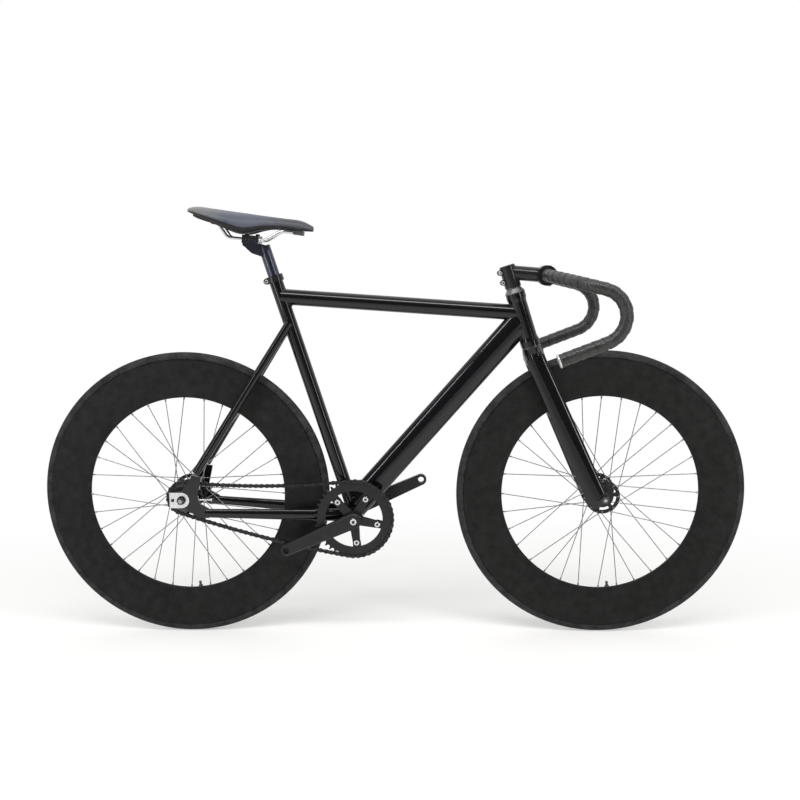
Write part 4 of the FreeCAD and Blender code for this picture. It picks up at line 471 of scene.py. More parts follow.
# Ridges on a bolt's shank, the share of its radius between them, and the shares of a ridge where it starts,
# peaks and ends
THREAD_RIDGES, THREAD_ROOT_SHARE, RIDGE_SHARES = 10, 0.9, (0.2, 0.5, 0.8)


def thread_mesh(name):
    """A shank of unit radius and height with ridges for its thread."""
    root = THREAD_ROOT_SHARE
    profile = [(root, 0.0)]
    for number in range(THREAD_RIDGES):
        profile += [(radius, (number + share) / THREAD_RIDGES)
                    for radius, share in zip((root, 1.0, root), RIDGE_SHARES)]
    return turned_mesh(name, profile + [(root, 1.0)])


def spline(values, share):
    """A smooth curve through rows of numbers given at growing shares."""
    number = min(bisect.bisect_left([row[0] for row in values[1:]], share), len(values) - 2)
    before, first, second, after = (values[min(max(number + step, 0), len(values) - 1)]
                                    for step in (-1, 0, 1, 2))
    gap = second[0] - first[0]
    t = min(max((share - first[0]) / gap, 0.0), 1.0)
    result = []
    for column in range(1, len(first)):
        low, high = first[column], second[column]
        run_in = (high - before[column]) / max(second[0] - before[0], 1e-9) * gap
        run_out = (after[column] - low) / max(after[0] - first[0], 1e-9) * gap
        result.append(low * (1 + 2 * t) * (1 - t) ** 2 + run_in * t * (1 - t) ** 2
                      + high * t * t * (3 - 2 * t) + run_out * t * t * (t - 1))
    return result


# Bar

# Corners of half of the bar, the radii of its bends there, its own radius and half of its bare middle
BAR_POINTS = ((0.350, 0.0, 0.8381), (0.350, 0.075, 0.8381), (0.412, 0.190, 0.8221), (0.630, 0.190, 0.7676),
              (0.3566, 0.190, 0.6634))
BAR_BENDS = (0.140, 0.058, 0.0586)
BAR_RADIUS = 0.0119
SLEEVE_HALF = 0.030
# Step along the bar; the tape's gap from the bare middle, and its lift off the bar
BAR_STEP, TAPE_GAP, TAPE_LIFT = 0.002, 0.0006, 0.0003


def bar_line(side):
    """Points along half of the bar, about a step apart."""
    points = [sided(place, side) for place in BAR_POINTS]
    line, last = [], points[0]

    def straight(end):
        count = max(int((end - last).length / BAR_STEP), 1)
        return [last.lerp(end, number / count) for number in range(count)]

    for before, corner, after, radius in zip(points, points[1:], points[2:], BAR_BENDS):
        back, ahead = (before - corner).normalized(), (after - corner).normalized()
        half = back.angle(ahead) / 2
        reach = radius / math.tan(half)
        start, end = corner + back * reach, corner + ahead * reach
        centre = corner + (back + ahead).normalized() * (radius / math.sin(half))
        line += straight(start)
        first, second = start - centre, end - centre
        turn = first.angle(second)
        count = max(int(turn * first.length / BAR_STEP), 2)
        axis = first.cross(second).normalized()
        line += [centre + Matrix.Rotation(turn * number / count, 3, axis) @ first
                 for number in range(count)]
        last = end
    return line + straight(points[-1]) + [points[-1]]


def stations(line):
    """Runs, points and steady cross directions along a line."""
    runs = [0.0]
    for first, second in zip(line, line[1:]):
        runs.append(runs[-1] + (second - first).length)
    upright = Vector((0, 0, 1))
    frames = []
    for number, point in enumerate(line):
        flow = (line[min(number + 1, len(line) - 1)] - line[max(number - 1, 0)]).normalized()
        upright = (upright - flow * upright.dot(flow)).normalized()
        frames.append((point, flow, upright, flow.cross(upright)))
    return runs, frames


def at_run(runs, frames, run):
    """The frame at a run along the line."""
    run = min(max(run, 0.0), runs[-1])
    low = min(bisect.bisect_right(runs, run), len(runs) - 1) - 1
    share = (run - runs[low]) / max(runs[low + 1] - runs[low], 1e-12)
    return [first.lerp(second, share) for first, second in zip(frames[low], frames[low + 1])]


# Across one turn of tape, from its covered edge to its free edge: shares of its width and of its height
TAPE_SHARES = ((0.0, 0.1), (0.05, 0.28), (0.25, 0.58), (0.6, 0.82), (0.85, 0.97), (0.95, 1.0), (0.985, 0.93),
               (1.0, 0.68), (0.99, 0.3))
TAPE_SEGMENTS = 32


def tape_mesh(name, side, sizes):
    """One ribbon wound around half of the bar, each turn lapping the last."""
    runs, frames = stations(bar_line(side))
    start, end = SLEEVE_HALF + TAPE_GAP, runs[-1]
    count = int((end - start) / sizes.tape_pitch * TAPE_SEGMENTS)
    rings = []
    for number in range(-TAPE_SEGMENTS, count + TAPE_SEGMENTS + 1):
        angle = side * number * 2 * math.pi / TAPE_SEGMENTS
        edge = end - number / TAPE_SEGMENTS * sizes.tape_pitch
        row = []
        for wide, high in TAPE_SHARES:
            run = min(max(edge - sizes.tape_width * (1 - wide), start), end)
            point, _, up, across = at_run(runs, frames, run)
            out = up * math.cos(angle) + across * math.sin(angle)
            row.append(point + out * (BAR_RADIUS + TAPE_LIFT + sizes.tape_thickness * high))
        rings.append(row)
    return skin(name, rings, False, False)


# Along the finishing band beside the stem: shares of its width and of its height
BAND_SHARES = ((0.0, -1.0), (0.0, 0.5), (0.03, 1.0), (0.5, 1.0), (0.97, 1.0), (1.0, 0.5), (1.0, -1.0))
BAND_SEGMENTS, FILM_HEIGHT = 48, 0.0003


def band_mesh(name, side, sizes):
    """A band of thin film that holds the last turn of tape beside the stem."""
    runs, frames = stations(bar_line(side))
    start = SLEEVE_HALF + TAPE_GAP
    rings = []
    for wide, high in BAND_SHARES:
        point, _, up, across = at_run(runs, frames, start + sizes.band_width * wide)
        radius = BAR_RADIUS + TAPE_LIFT + sizes.tape_thickness + FILM_HEIGHT * high
        rings.append([point + (up * math.cos(turn) + across * math.sin(turn)) * radius
                      for turn in turns(BAND_SEGMENTS)])
    return skin(name, rings, False)


class BICYCLE_OT_tape(bpy.types.Operator):
    """Wind the padded tape around both sides of the bar"""
    bl_idname = "bicycle.tape"
    bl_label = "Bar tape"

    def execute(self, context):
        finish, sizes, _ = settings()
        material = tape_finish(finish)
        film = plain("tape_film", tuple(finish.satin), 0.02, (0.2, 0.34), 260, 0.00003).material
        for name, side in SIDES:
            wound = tape_mesh("tape_" + name, side, sizes)
            made = piece("tape_" + name, wound, material, "steering")
            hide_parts("bar_tape_" + name)
            band = band_mesh("tape_band_" + name, side, sizes)
            piece("tape_band_" + name, band, film, "steering")
        return {"FINISHED"}


# Saddle

SADDLE_TAIL = CLAMP + Vector((-0.1385, 0.0, 0.0762))
SADDLE_LENGTH, SADDLE_HALF, SADDLE_DEPTH = 0.284, 0.070, 0.042
SADDLE_TILT = math.radians(8.7)
# Share of the length, half width, top, lower edge and hollow, as the solid has them
SADDLE_SHARES = (
    (0.0, 0.4, -0.1, -0.32, -0.3), (0.07, 0.86, 0.03, -0.42, -0.38), (0.2, 1.0, 0.06, -0.62, -0.45),
    (0.34, 0.94, 0.07, -0.84, -0.48), (0.46, 0.7, 0.08, -0.99, -0.5), (0.6, 0.42, 0.07, -0.66, -0.47),
    (0.75, 0.29, 0.08, -0.48, -0.43), (0.9, 0.25, 0.08, -0.46, -0.41), (1.0, 0.13, -0.14, -0.4, -0.37))
# Around half a section: share of the half width, and of the way from top to lower edge
PAD_SHARES = ((0.0, 0.0), (0.2, 0.012), (0.4, 0.05), (0.58, 0.115), (0.74, 0.2), (0.87, 0.33), (0.95, 0.48),
              (0.985, 0.6), (0.982, 0.7), (0.968, 0.75), (0.972, 0.775), (0.975, 0.8), (0.955, 0.88), (0.91, 0.96),
              (0.86, 1.0), (0.8, 0.99))
# The row where the top cover meets the skirt, in a stitched groove, and the sections left bare at its ends
SEAM_ROW, SEAM_ENDS = 9, 2
# Relief along the middle, in shares: its depth, where it is deepest, its spread along and across
RELIEF_DEPTH, RELIEF_MIDDLE, RELIEF_LONG, RELIEF_WIDE = 0.04, 0.36, 0.22, 0.16
# Underside: shares of the half width going inwards, the share that it starts from, and its extra depth
UNDER_SHARES, UNDER_EDGE_SHARE, UNDER_DEPTH = (0.55, 0.25, 0.0), 0.8, 0.005
# A stitch: half its length as a share of the spacing, its other half sizes, and its lean upwards
STITCH_SHARE, STITCH_HALVES, STITCH_LEAN = 0.36, (0.00045, 0.0004), 0.25
# Its outline in shares of its radius and height, which is turned in a few segments
STITCH_PROFILE = ((0.05, -1.0), (0.7, -0.7), (1.0, 0.0), (0.7, 0.7), (0.05, 1.0))
GRAIN_SEGMENTS = 8


def on_saddle(share, y, depth):
    """A place on the tilted saddle."""
    turn = Matrix.Rotation(SADDLE_TILT, 3, "Y")
    return SADDLE_TAIL + turn @ Vector((SADDLE_LENGTH * share, y, SADDLE_DEPTH * depth))


def saddle_rows(rings):
    """The crowned pad with drawn-in sides and a shallow relief along its middle."""
    rows = []
    for number in range(rings + 1):
        share = number / rings
        half, top, low, arch = spline(SADDLE_SHARES, share)
        half *= SADDLE_HALF
        relief = RELIEF_DEPTH * math.exp(-((share - RELIEF_MIDDLE) / RELIEF_LONG) ** 2)
        row = []
        for wide, down in PAD_SHARES:
            dip = relief * math.exp(-(wide / RELIEF_WIDE) ** 2)
            row.append((wide, top - (top - low) * down - dip))
        for wide in UNDER_SHARES:
            row.append((wide, arch + (low - arch) * (wide / UNDER_EDGE_SHARE) ** 2 - UNDER_DEPTH))
        left = [on_saddle(share, half * wide, depth) for wide, depth in row]
        right = [on_saddle(share, -half * wide, depth) for wide, depth in reversed(row[1:-1])]
        rows.append(left + right)
    return rows


def stitch_points(rows, stitch):
    """Places along both seams of the saddle, a stitch apart."""
    points = []
    for column, side in ((SEAM_ROW - 1, 1), (len(rows[0]) - SEAM_ROW + 1, -1)):
        runs, frames = stations([row[column] for row in rows[SEAM_ENDS:-SEAM_ENDS]])
        for number in range(int(runs[-1] / stitch)):
            place, flow, _, _ = at_run(runs, frames, (number + 0.5) * stitch)
            out = Vector((0, side, STITCH_LEAN)).normalized()
            points.append((place, out, flow, (stitch * STITCH_SHARE, *STITCH_HALVES)))
    return points


class BICYCLE_OT_saddle(bpy.types.Operator):
    """Model the saddle's padded cover"""
    bl_idname = "bicycle.saddle"
    bl_label = "Saddle"

    def execute(self, context):
        finish, sizes, _ = settings()
        rows = saddle_rows(sizes.saddle_rings)
        mesh = skin("saddle_cover", rows)
        made = piece("saddle_cover", mesh, cover_finish(finish), "seat")
        skirt = plain("saddle_skirt", tuple(finish.satin), 0.006, (0.4, 0.55), 700, 0.0001,
                      Specular_IOR_Level=0.3)
        mesh.materials.append(skirt.material)
        width = len(rows[0])
        for face in mesh.polygons:
            columns = [corner % width for corner in face.vertices]
            if len(columns) == 4 and SEAM_ROW <= min(columns) and max(columns) <= width - SEAM_ROW:
                face.material_index = 1
        smooth = made.modifiers.new("smooth", "SUBSURF")
        smooth.levels = smooth.render_levels = 1
        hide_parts("saddle_pad")
        thread = plain("saddle_thread", (0.05, 0.05, 0.055), 0.05, (0.5, 0.65), 900, 0.00004).material
        ball = turned_mesh("stitch", STITCH_PROFILE, GRAIN_SEGMENTS)
        stitches = scatter("saddle_stitches", stitch_points(rows, sizes.stitch), ball, thread,
                           spread=0.08)
        piece("saddle_stitches", stitches, thread, "seat")
        return {"FINISHED"}


# Bolts and welds

# Radius and height of a bolt's head, radius and length of its shank
RING_BOLT, RING_NUT = (0.0064, 0.0016, 0.005, 0.008), (0.0064, 0.0016, 0.005, 0.002)
SPINDLE_BOLT = (0.0075, 0.004, 0.004, 0.014)
STEERER_BOLT, FACE_BOLT = (0.0043, 0.0045, 0.0025, 0.022), (0.0043, 0.0045, 0.0025, 0.015333)
RAIL_BOLT, COLLAR_BOLT = (0.005, 0.004, 0.003, 0.019), (0.0046, 0.0042, 0.0024, 0.012)
# Ring bolts: how many, the first one's angle, their circle's radius; then how far aside each kind sits
RING_COUNT, RING_ANGLE, RING_CIRCLE = 5, 204, 0.055
RING_BOLT_Y, RING_NUT_Y, SPINDLE_BOLT_Y = 0.0505, 0.0425, 0.068
# Steerer bolts: heights on the steerer, how far behind it and how far aside
STEERER_BOLT_RISES, STEERER_BOLT_BACK, STEERER_BOLT_Y = (0.55725, 0.53425), 0.020, 0.011
# Face bolts, from the middle of the bar: aside, above and ahead
FACE_BOLT_Y, FACE_BOLT_RISE, FACE_BOLT_AHEAD = 0.015, 0.0194, 0.007667
CLAMP_LENGTH, RAIL_BOLT_RISE = 0.037, 0.0095
# Collar bolt, from the top of the seat tube: below, behind and aside
COLLAR_BOLT_DROP, COLLAR_BOLT_BACK, COLLAR_BOLT_Y = 0.0075, 0.0195, 0.008


def bolt(place, axis, heading, sizes):
    """Points of one socket bolt: its head, seated at a place, and its threaded shank behind."""
    head, height, shank, reach = sizes
    return ((place, axis, heading, (head, head, height)),
            (place - axis * reach, axis, heading, (shank, shank, reach)))


def crank_bolts():
    """Five chainring bolts with their nuts, and the bolt in each end of the spindle."""
    bolts = []
    for number in range(RING_COUNT):
        turn = math.radians(RING_ANGLE + 360 / RING_COUNT * number)
        reach = Vector((math.cos(turn), 0, math.sin(turn)))
        seat = BRACKET + reach * RING_CIRCLE
        bolts.append(bolt(seat - ACROSS * RING_BOLT_Y, -ACROSS, reach, RING_BOLT))
        bolts.append(bolt(seat - ACROSS * RING_NUT_Y, ACROSS, reach, RING_NUT))
    for _, side in SIDES:
        seat = BRACKET + ACROSS * (SPINDLE_BOLT_Y * side)
        bolts.append(bolt(seat, ACROSS * side, Vector((1, 0, 0)), SPINDLE_BOLT))
    return bolts


def stem_bolts():
    """Two bolts that clamp the steerer and four that hold the face plate."""
    bolts = []
    for height in STEERER_BOLT_RISES:
        seat = (STEER_FOOT + STEER_UP * height - STEER_AHEAD * STEERER_BOLT_BACK
                - ACROSS * STEERER_BOLT_Y)
        bolts.append(bolt(seat, -ACROSS, STEER_UP, STEERER_BOLT))
    above = STEM_AHEAD.cross(ACROSS)
    for y, z in ((1, 1), (1, -1), (-1, 1), (-1, -1)):
        seat = (BAR + ACROSS * (FACE_BOLT_Y * y) + above * (FACE_BOLT_RISE * z)
                + STEM_AHEAD * FACE_BOLT_AHEAD)
        bolts.append(bolt(seat, STEM_AHEAD, above, FACE_BOLT))
    return bolts


def rail_bolts():
    """Two bolts that clamp the saddle's rails."""
    seats = [CLAMP + RAIL_AHEAD * (end * CLAMP_LENGTH / 3) + RAIL_UP * RAIL_BOLT_RISE for end in (1, -1)]
    return [bolt(seat, RAIL_UP, RAIL_AHEAD, RAIL_BOLT) for seat in seats]


def collar_bolt():
    """The cap over the head of the bolt behind the seat collar."""
    back = Vector((-SEAT_UP.z, 0, SEAT_UP.x))
    seat = SEAT_TOP - SEAT_UP * COLLAR_BOLT_DROP + back * COLLAR_BOLT_BACK - ACROSS * COLLAR_BOLT_Y
    return bolt(seat, -ACROSS, SEAT_UP, COLLAR_BOLT)


class BICYCLE_OT_bolts(bpy.types.Operator):
    """Model the socket bolts of cranks, stem, saddle clamp and seat collar"""
    bl_idname = "bicycle.bolts"
    bl_label = "Bolts"

    def execute(self, context):
        finish, _, _ = settings()
        bright = brushed_finish("bolt_bright", tuple(finish.steel), (0.16, 0.3), [240.0] * 3)
        dark = brushed_finish("bolt_dark", (0.22, 0.22, 0.225), (0.25, 0.4), [240.0] * 3)
        # Painted shade: a dark finish on the socket faces of every bolt head, standing in for the shade inside the
        # recess
        shade = plain("bolt_socket_painted_shade", (0.012, 0.012, 0.013), 0.03, (0.4, 0.55), 900, 0.00002)
        head, thread = bolt_head_mesh("head"), thread_mesh("thread")
        per_head = len(head.polygons)
        shaded_socket_faces = [face.index for face in head.polygons if face.center.xy.length < SOCKET_SHARE]
        for node, body, material, bolts in (
                ("crankset_bolts", "crankset", bright, crank_bolts()),
                ("stem_bolts", "steering", bright, stem_bolts()),
                ("rail_clamp_bolts", "seat", dark, rail_bolts()),
                ("collar_bolt", "frame", bright, [collar_bolt()])):
            heads = scatter(node + "_heads", [parts[0] for parts in bolts], head, material)
            shanks = scatter(node + "_shanks", [parts[1] for parts in bolts], thread, material)
            # The socket faces take the painted shade
            for face in heads.polygons:
                face.material_index = int(face.index % per_head in shaded_socket_faces)
            mesh = merged("socket_" + node, (heads, shanks))
            made = piece("socket_" + node, mesh, material, body)
            mesh.materials.append(shade.material)
            if node in NODES:
                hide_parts(node)
        return {"FINISHED"}


# Radii of head tube, seat tube and bracket shell, then half height and half width of what meets them
HEAD_RADIUS, SEAT_RADIUS, SHELL_RADIUS = 0.0202, 0.0159, 0.0205
TOP_TUBE, DOWN_TUBE, SEAT_TUBE = (0.018, 0.018), (0.030, 0.019), (SEAT_RADIUS, SEAT_RADIUS)
SEAT_STAY, CHAIN_STAY = (0.0092, 0.0092), (0.015, 0.009)
# Height of the head tube's top on the steerer, then how far below it top tube and down tube meet it
HEAD_TOP_RISE, TOP_TUBE_FRONT_DROP, DOWN_TUBE_FRONT_DROP = 0.5035, 0.0466, 0.0602
# How far below the seat tube's top the top tube and the seat stays meet it
TOP_TUBE_REAR_DROP, SEAT_STAY_DROP = 0.0497, 0.1116
# How far above the bracket's axis the down tube passes, and how far aside a seat stay starts
DOWN_TUBE_LIFT, SEAT_STAY_Y = 0.0127, 0.013
# A stay's ends on the left: the chain stay's front from the bracket, the others from the rear axle
CHAIN_STAY_FRONT = (-0.012, 0.022, 0.003)
CHAIN_STAY_END, SEAT_STAY_END = (0.052, 0.063, -0.031), (0.034, 0.063, 0.062)
# Ripples of a weld bead: their spacing, the fewest in a bead, half their length, and their rise
RIPPLE_STEP, RIPPLES_LEAST, RIPPLE_HALF, RIPPLE_RISE = 0.0019, 12, 0.0015, 0.0011
RIPPLE_PROFILE = ((0.05, -1.0), (0.7, -0.7), (1.0, 0.0), (0.88, 0.48), (0.5, 0.87), (0.05, 1.0))


def mitre(start, run, halves, post, axis, radius):
    """Where the surface of a tube leaves a round post: places with the way out and the way along."""
    half_high, half_wide = halves
    run = run.normalized()
    high = ACROSS.cross(run).normalized()
    wide = run.cross(high)
    line = []
    count = max(int(math.pi * (half_high + half_wide) / RIPPLE_STEP), RIPPLES_LEAST)
    for turn in turns(count):
        out = high * (math.cos(turn) * half_high) + wide * (math.sin(turn) * half_wide)
        offset = start + out - post
        flat, drive = offset - axis * offset.dot(axis), run - axis * run.dot(axis)
        a, b, c = drive.dot(drive), flat.dot(drive), flat.dot(flat) - radius * radius
        if b * b - a * c < 0:
            continue
        place = start + out + run * ((-b + math.sqrt(b * b - a * c)) / a)
        from_post = place - post
        lean = (from_post - axis * from_post.dot(axis)).normalized()
        around = (wide * math.cos(turn) * half_wide - high * math.sin(turn) * half_high).normalized()
        line.append((place, (out.normalized() + lean).normalized(), around))
    return line


class BICYCLE_OT_welds(bpy.types.Operator):
    """Lay rippled weld beads round the joints of the frame"""
    bl_idname = "bicycle.welds"
    bl_label = "Welds"

    def execute(self, context):
        finish, sizes, _ = settings()
        head_top = STEER_FOOT + STEER_UP * HEAD_TOP_RISE
        top_front = head_top - STEER_UP * TOP_TUBE_FRONT_DROP
        top_rear = SEAT_TOP - SEAT_UP * TOP_TUBE_REAR_DROP
        down_front = head_top - STEER_UP * DOWN_TUBE_FRONT_DROP
        slope = (down_front - BRACKET).normalized()
        down_rear = BRACKET + Vector((-slope.z, 0, slope.x)) * DOWN_TUBE_LIFT
        head, seat = (head_top, STEER_UP, HEAD_RADIUS), (SEAT_TOP, SEAT_UP, SEAT_RADIUS)
        shell = (BRACKET, ACROSS, SHELL_RADIUS)
        lines = [mitre(top_front, top_rear - top_front, TOP_TUBE, *head),
                 mitre(top_rear, top_front - top_rear, TOP_TUBE, *seat),
                 mitre(down_front, down_rear - down_front, DOWN_TUBE, *head),
                 mitre(down_rear, down_front - down_rear, DOWN_TUBE, *shell),
                 mitre(BRACKET, SEAT_UP, SEAT_TUBE, *shell)]
        for _, side in SIDES:
            top = SEAT_TOP - SEAT_UP * SEAT_STAY_DROP + ACROSS * (SEAT_STAY_Y * side)
            lines.append(mitre(top, REAR_AXLE + sided(SEAT_STAY_END, side) - top, SEAT_STAY, *seat))
            front = BRACKET + sided(CHAIN_STAY_FRONT, side)
            lines.append(mitre(front, REAR_AXLE + sided(CHAIN_STAY_END, side) - front, CHAIN_STAY, *shell))
        size = (RIPPLE_HALF, sizes.bead, RIPPLE_RISE)
        points = [(place, out, around, size) for line in lines for place, out, around in line]
        material = lacquer_finish(finish)
        ripple = turned_mesh("ripple", RIPPLE_PROFILE, GRAIN_SEGMENTS)
        beads = scatter("weld_beads", points, ripple, material, spread=0.15)
        piece("weld_beads", beads, material, "frame")
        return {"FINISHED"}


class BICYCLE_OT_finishes(bpy.types.Operator):
    """Give every CAD node its finish"""
    bl_idname = "bicycle.finishes"
    bl_label = "Finishes"

    def execute(self, context):
        finish, _, _ = settings()
        satin, steel = tuple(finish.satin), tuple(finish.steel)
        paint(lacquer_finish(finish), "head_tube", "bottom_bracket_shell", "seat_tube", "down_tube", "top_tube",
              "frame_bridges", "rear_dropout_left", "rear_dropout_right", "chain_stay_left", "chain_stay_right",
              "seat_stay_left", "seat_stay_right", "fork_crown", "fork_blade_left", "fork_blade_right")
        gloss = plain("anodised_gloss", satin, 0.006, (0.16, 0.26), 420, 0.00002, Coat_Weight=0.25,
                      Coat_Roughness=0.08, Specular_IOR_Level=0.25)
        paint(gloss.material, "stem", "stem_faceplate", "headset_top_cap", "seat_collar", "handlebar")
        paint(brushed_finish("post_anodised", (0.1, 0.105, 0.135), (0.22, 0.34), (260.0, 260.0, 60.0)),
              "seatpost")
        blasted = plain("anodised_satin", satin, 0.006, (0.26, 0.38), 900, 0.00002, Specular_IOR_Level=0.3)
        paint(blasted.material, "crank_arm_left", "crank_arm_right", "chainring", "front_hub_shell",
              "rear_hub_shell", "bottom_bracket_cups", "rail_clamp")
        bead = plain("headset_grey", (0.15, 0.15, 0.148), 0.08, (0.3, 0.45), 700, 0.00002, Metallic=0.85)
        paint(bead.material, "headset_cover")
        paint(brushed_finish("plated_steel", steel, (0.14, 0.3), (300.0, 40.0, 300.0)), "chain_tensioners",
              "saddle_rails", "crankset_bolts")
        paint(brushed_finish("bolt_steel", (0.45, 0.45, 0.46), (0.25, 0.4), [200.0] * 3), "stem_bolts",
              "rail_clamp_bolts", "crank_spindle", "headset_bearings", "front_hub_bearings", "rear_hub_bearings",
              "rear_axle", "front_axle")
        paint(brushed_finish("dark_steel", (0.1, 0.1, 0.105), (0.3, 0.45), [160.0] * 3),
              "rear_axle_nuts", "front_axle_nuts", "rear_sprocket", "sprocket_lockring", "crown_race")
        paint(brushed_finish("spoke_steel", (0.26, 0.26, 0.265), (0.22, 0.36), [90.0] * 3),
              "front_spokes", "rear_spokes")
        paint(chain_finish(), "chain")
        for label, axle in (("front", FRONT_AXLE), ("rear", REAR_AXLE)):
            paint(rim_finish(label + "_rim_black", axle, finish), label + "_rim")
            paint(tyre_finish(label + "_tyre_rubber", axle, finish), label + "_tyre")
            paint(plain(label + "_tube_rubber", (0.02, 0.02, 0.02), 0.03, (0.5, 0.65), 300, 0.00003).material,
                  label + "_inner_tube")
        paint(plain("moulded_black", (0.02, 0.02, 0.021), 0.03, (0.42, 0.6), 600, 0.00005).material,
              "saddle_shell")
        paint(plain("plug_plastic", (0.6, 0.6, 0.61), 0.15, (0.2, 0.32), 300, 0.00002, Metallic=0.4).material,
              "bar_end_plugs")
        paint(plain("hidden_rubber", (0.03, 0.03, 0.03), 0.02, (0.5, 0.6), 300, 0.00002).material, "bar_tape_left",
              "bar_tape_right", "saddle_pad")
        return {"FINISHED"}


# Studio

# Level of the light from all around, and how reflections of the room darken towards the camera's side
SKY_LEVEL, ROOM_LEVEL, ROOM_FROM, ROOM_TO = 0.42, 0.08, -0.45, 0.35
# Half size of the floor; strength and spread in degrees of the light from above
FLOOR_HALF, SKY_STRENGTH, SKY_SPREAD = 8.0, 0.8, 110
# Places between which, going away from the camera, reflections turn to see the floor white
BEHIND_FROM, BEHIND_TO = -0.2, 0.6
# How white the camera sees the floor under the object, and the distances between which it turns all white;
# those along the bicycle count by a share
NEAR_WHITE, NEAR, FAR, ALONG_SHARE = 0.3, 0.15, 1.05, 0.5
# Lamps: place, target, width and height, watts and tint
LAMPS = (("overhead", (0.0, -0.9, 1.95), (0.0, 0.0, 0.6), (2.6, 0.3), 22, (1, 1, 1)),
         ("window", (-1.7, -1.5, 1.1), (-0.1, 0.0, 0.55), (0.25, 1.8), 12, (0.93, 0.96, 1.0)),
         ("fill", (1.8, -1.4, 1.1), (0.3, 0.0, 0.55), (0.25, 1.8), 11, (1, 1, 1)))
# Width of the camera's sensor in millimetres, and the shift of its picture in shares of that
SENSOR, SHIFT_SHARES = 36.0, (0.0076, -0.0052)


def area_light(name, place, target, size, energy, tint):
    """A soft rectangular lamp aimed at a place."""
    data = bpy.data.lights.new(name, "AREA")
    data.shape = "RECTANGLE"
    data.size, data.size_y = size
    data.energy = energy
    data.color = tint
    made = add_object(name, data)
    made.location = place
    made.visible_camera = False
    made.rotation_euler = (Vector(target) - Vector(place)).to_track_quat("-Z", "Y").to_euler()


def floor_finish(base):
    """A pale floor that keeps the shadow and whitens, for the camera and reflections, away from the object."""
    made = plain("studio_floor", base, 0.1, (0.7, 0.9), 30, 0.0001, Specular_IOR_Level=0.1)
    surface = made.tree.nodes["Material Output"].inputs["Surface"]
    matt = surface.links[0].from_socket
    path = made.add("ShaderNodeLightPath").outputs
    parts = made.add("ShaderNodeSeparateXYZ", {0: made.place}).outputs
    behind = made.math("MULTIPLY", path["Is Glossy Ray"],
                       made.range(parts[1], 0.0, 1.0, BEHIND_FROM, BEHIND_TO))
    seen = made.math("MAXIMUM", path["Is Camera Ray"],
                     made.math("MAXIMUM", behind, path["Is Transmission Ray"]))
    along = made.math("MULTIPLY", parts[0], ALONG_SHARE)
    reach = made.math("SQRT", made.math("ADD", made.math("MULTIPLY", along, along),
                                        made.math("MULTIPLY", parts[1], parts[1])))
    far = made.range(reach, NEAR_WHITE, 1.0, NEAR, FAR)
    white = made.add("ShaderNodeEmission", {"Strength": 1.0}).outputs[0]
    share = made.math("MULTIPLY", seen, far)
    shown = made.add("ShaderNodeMixShader", {0: share, 1: matt, 2: white}).outputs[0]
    made.tree.links.new(shown, surface)
    return made.material


def studio_world():
    """White for the camera and behind the object, darker in reflections of the room behind the camera."""
    world = bpy.data.worlds.new("studio")
    bpy.context.scene.world = world
    world.use_nodes = True
    tree = world.node_tree

    def join(kind, *inputs, **attributes):
        return new_node(tree, kind, dict(enumerate(inputs)), **attributes).outputs[0]

    path = tree.nodes.new("ShaderNodeLightPath").outputs
    seen = join("ShaderNodeMath", path["Is Camera Ray"], path["Is Transmission Ray"], operation="MAXIMUM")
    heading = tree.nodes.new("ShaderNodeTexCoord").outputs["Generated"]
    depth = new_node(tree, "ShaderNodeSeparateXYZ", {0: heading}).outputs[1]
    room = join("ShaderNodeMapRange", depth, ROOM_FROM, ROOM_TO, ROOM_LEVEL - SKY_LEVEL,
                1 - SKY_LEVEL)
    mirrored = join("ShaderNodeMath", path["Is Glossy Ray"], room, operation="MULTIPLY")
    shown = join("ShaderNodeMath", seen, 1 - SKY_LEVEL, operation="MULTIPLY")
    extra = join("ShaderNodeMath", shown, mirrored, operation="ADD")
    level = join("ShaderNodeMath", extra, SKY_LEVEL, operation="ADD")
    background = tree.nodes["Background"]
    background.inputs["Color"].default_value = (1, 1, 1, 1)
    tree.links.new(level, background.inputs["Strength"])


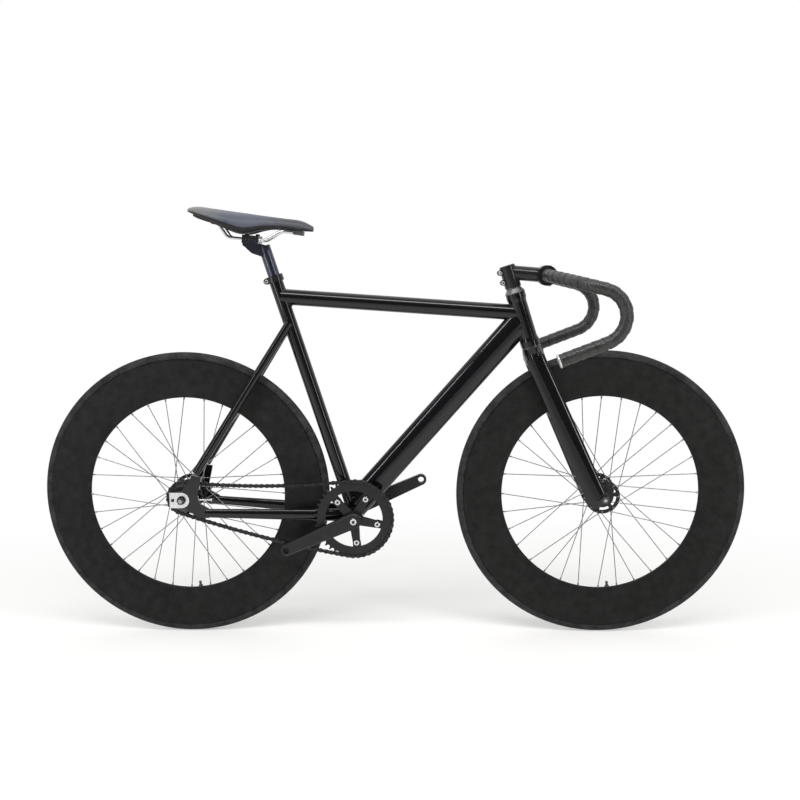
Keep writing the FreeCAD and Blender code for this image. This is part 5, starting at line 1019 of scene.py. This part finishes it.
class BICYCLE_OT_stage(bpy.types.Operator):
    """Set up the pale floor, soft light and the camera"""
    bl_idname = "bicycle.stage"
    bl_label = "Studio"

    def execute(self, context):
        _, _, studio = settings()
        scene = context.scene
        scene.view_settings.view_transform = "Standard"
        studio_world()
        mesh = bpy.data.meshes.new("floor")
        work = bmesh.new()
        bmesh.ops.create_grid(work, x_segments=1, y_segments=1, size=FLOOR_HALF)
        work.to_mesh(mesh)
        work.free()
        floor = add_object("floor", mesh)
        mesh.materials.append(floor_finish(tuple(studio.floor)))
        data = bpy.data.lights.new("sky", "SUN")
        data.energy, data.angle = SKY_STRENGTH, math.radians(SKY_SPREAD)
        add_object("sky", data)
        for lamp in LAMPS:
            area_light(*lamp)
        data = bpy.data.cameras.new("camera")
        data.lens, data.sensor_width = studio.lens, SENSOR
        data.shift_x, data.shift_y = SHIFT_SHARES
        camera = add_object("camera", data)
        camera.matrix_world = (Matrix.Translation(studio.eye) @ Matrix.Rotation(-studio.yaw, 4, "Z")
                               @ Matrix.Rotation(math.pi / 2 + studio.pitch, 4, "X")
                               @ Matrix.Rotation(studio.roll, 4, "Z"))
        scene.camera = camera
        return {"FINISHED"}


class BICYCLE_PT_panel(bpy.types.Panel):
    """Lists the bicycle's pieces"""
    bl_idname = "BICYCLE_PT_panel"
    bl_label = "Bicycle"
    bl_space_type = "VIEW_3D"
    bl_region_type = "UI"
    bl_category = "Bicycle"

    def draw(self, context):
        for operator in OPERATORS:
            self.layout.operator(operator.bl_idname)
        for group in settings():
            for name in group.__annotations__:
                self.layout.prop(group, name)


OPERATORS = (BICYCLE_OT_finishes, BICYCLE_OT_tape, BICYCLE_OT_saddle, BICYCLE_OT_bolts, BICYCLE_OT_welds,
             BICYCLE_OT_stage)
GROUPS = (("bicycle_finish", BicycleFinish), ("bicycle_sizes", BicycleSizes), ("bicycle_studio", BicycleStudio))


def register():
    for name, group in GROUPS:
        bpy.utils.register_class(group)
        setattr(bpy.types.Scene, name, PointerProperty(type=group))
    for made in (*OPERATORS, BICYCLE_PT_panel):
        bpy.utils.register_class(made)


def unregister():
    for made in (BICYCLE_PT_panel, *reversed(OPERATORS)):
        bpy.utils.unregister_class(made)
    for name, group in reversed(GROUPS):
        delattr(bpy.types.Scene, name)
        bpy.utils.unregister_class(group)


def main():
    register()
    bpy.ops.bicycle.finishes()
    bpy.ops.bicycle.tape()
    bpy.ops.bicycle.saddle()
    bpy.ops.bicycle.bolts()
    bpy.ops.bicycle.welds()
    bpy.ops.bicycle.stage()


if __name__ == "__main__":
    main()
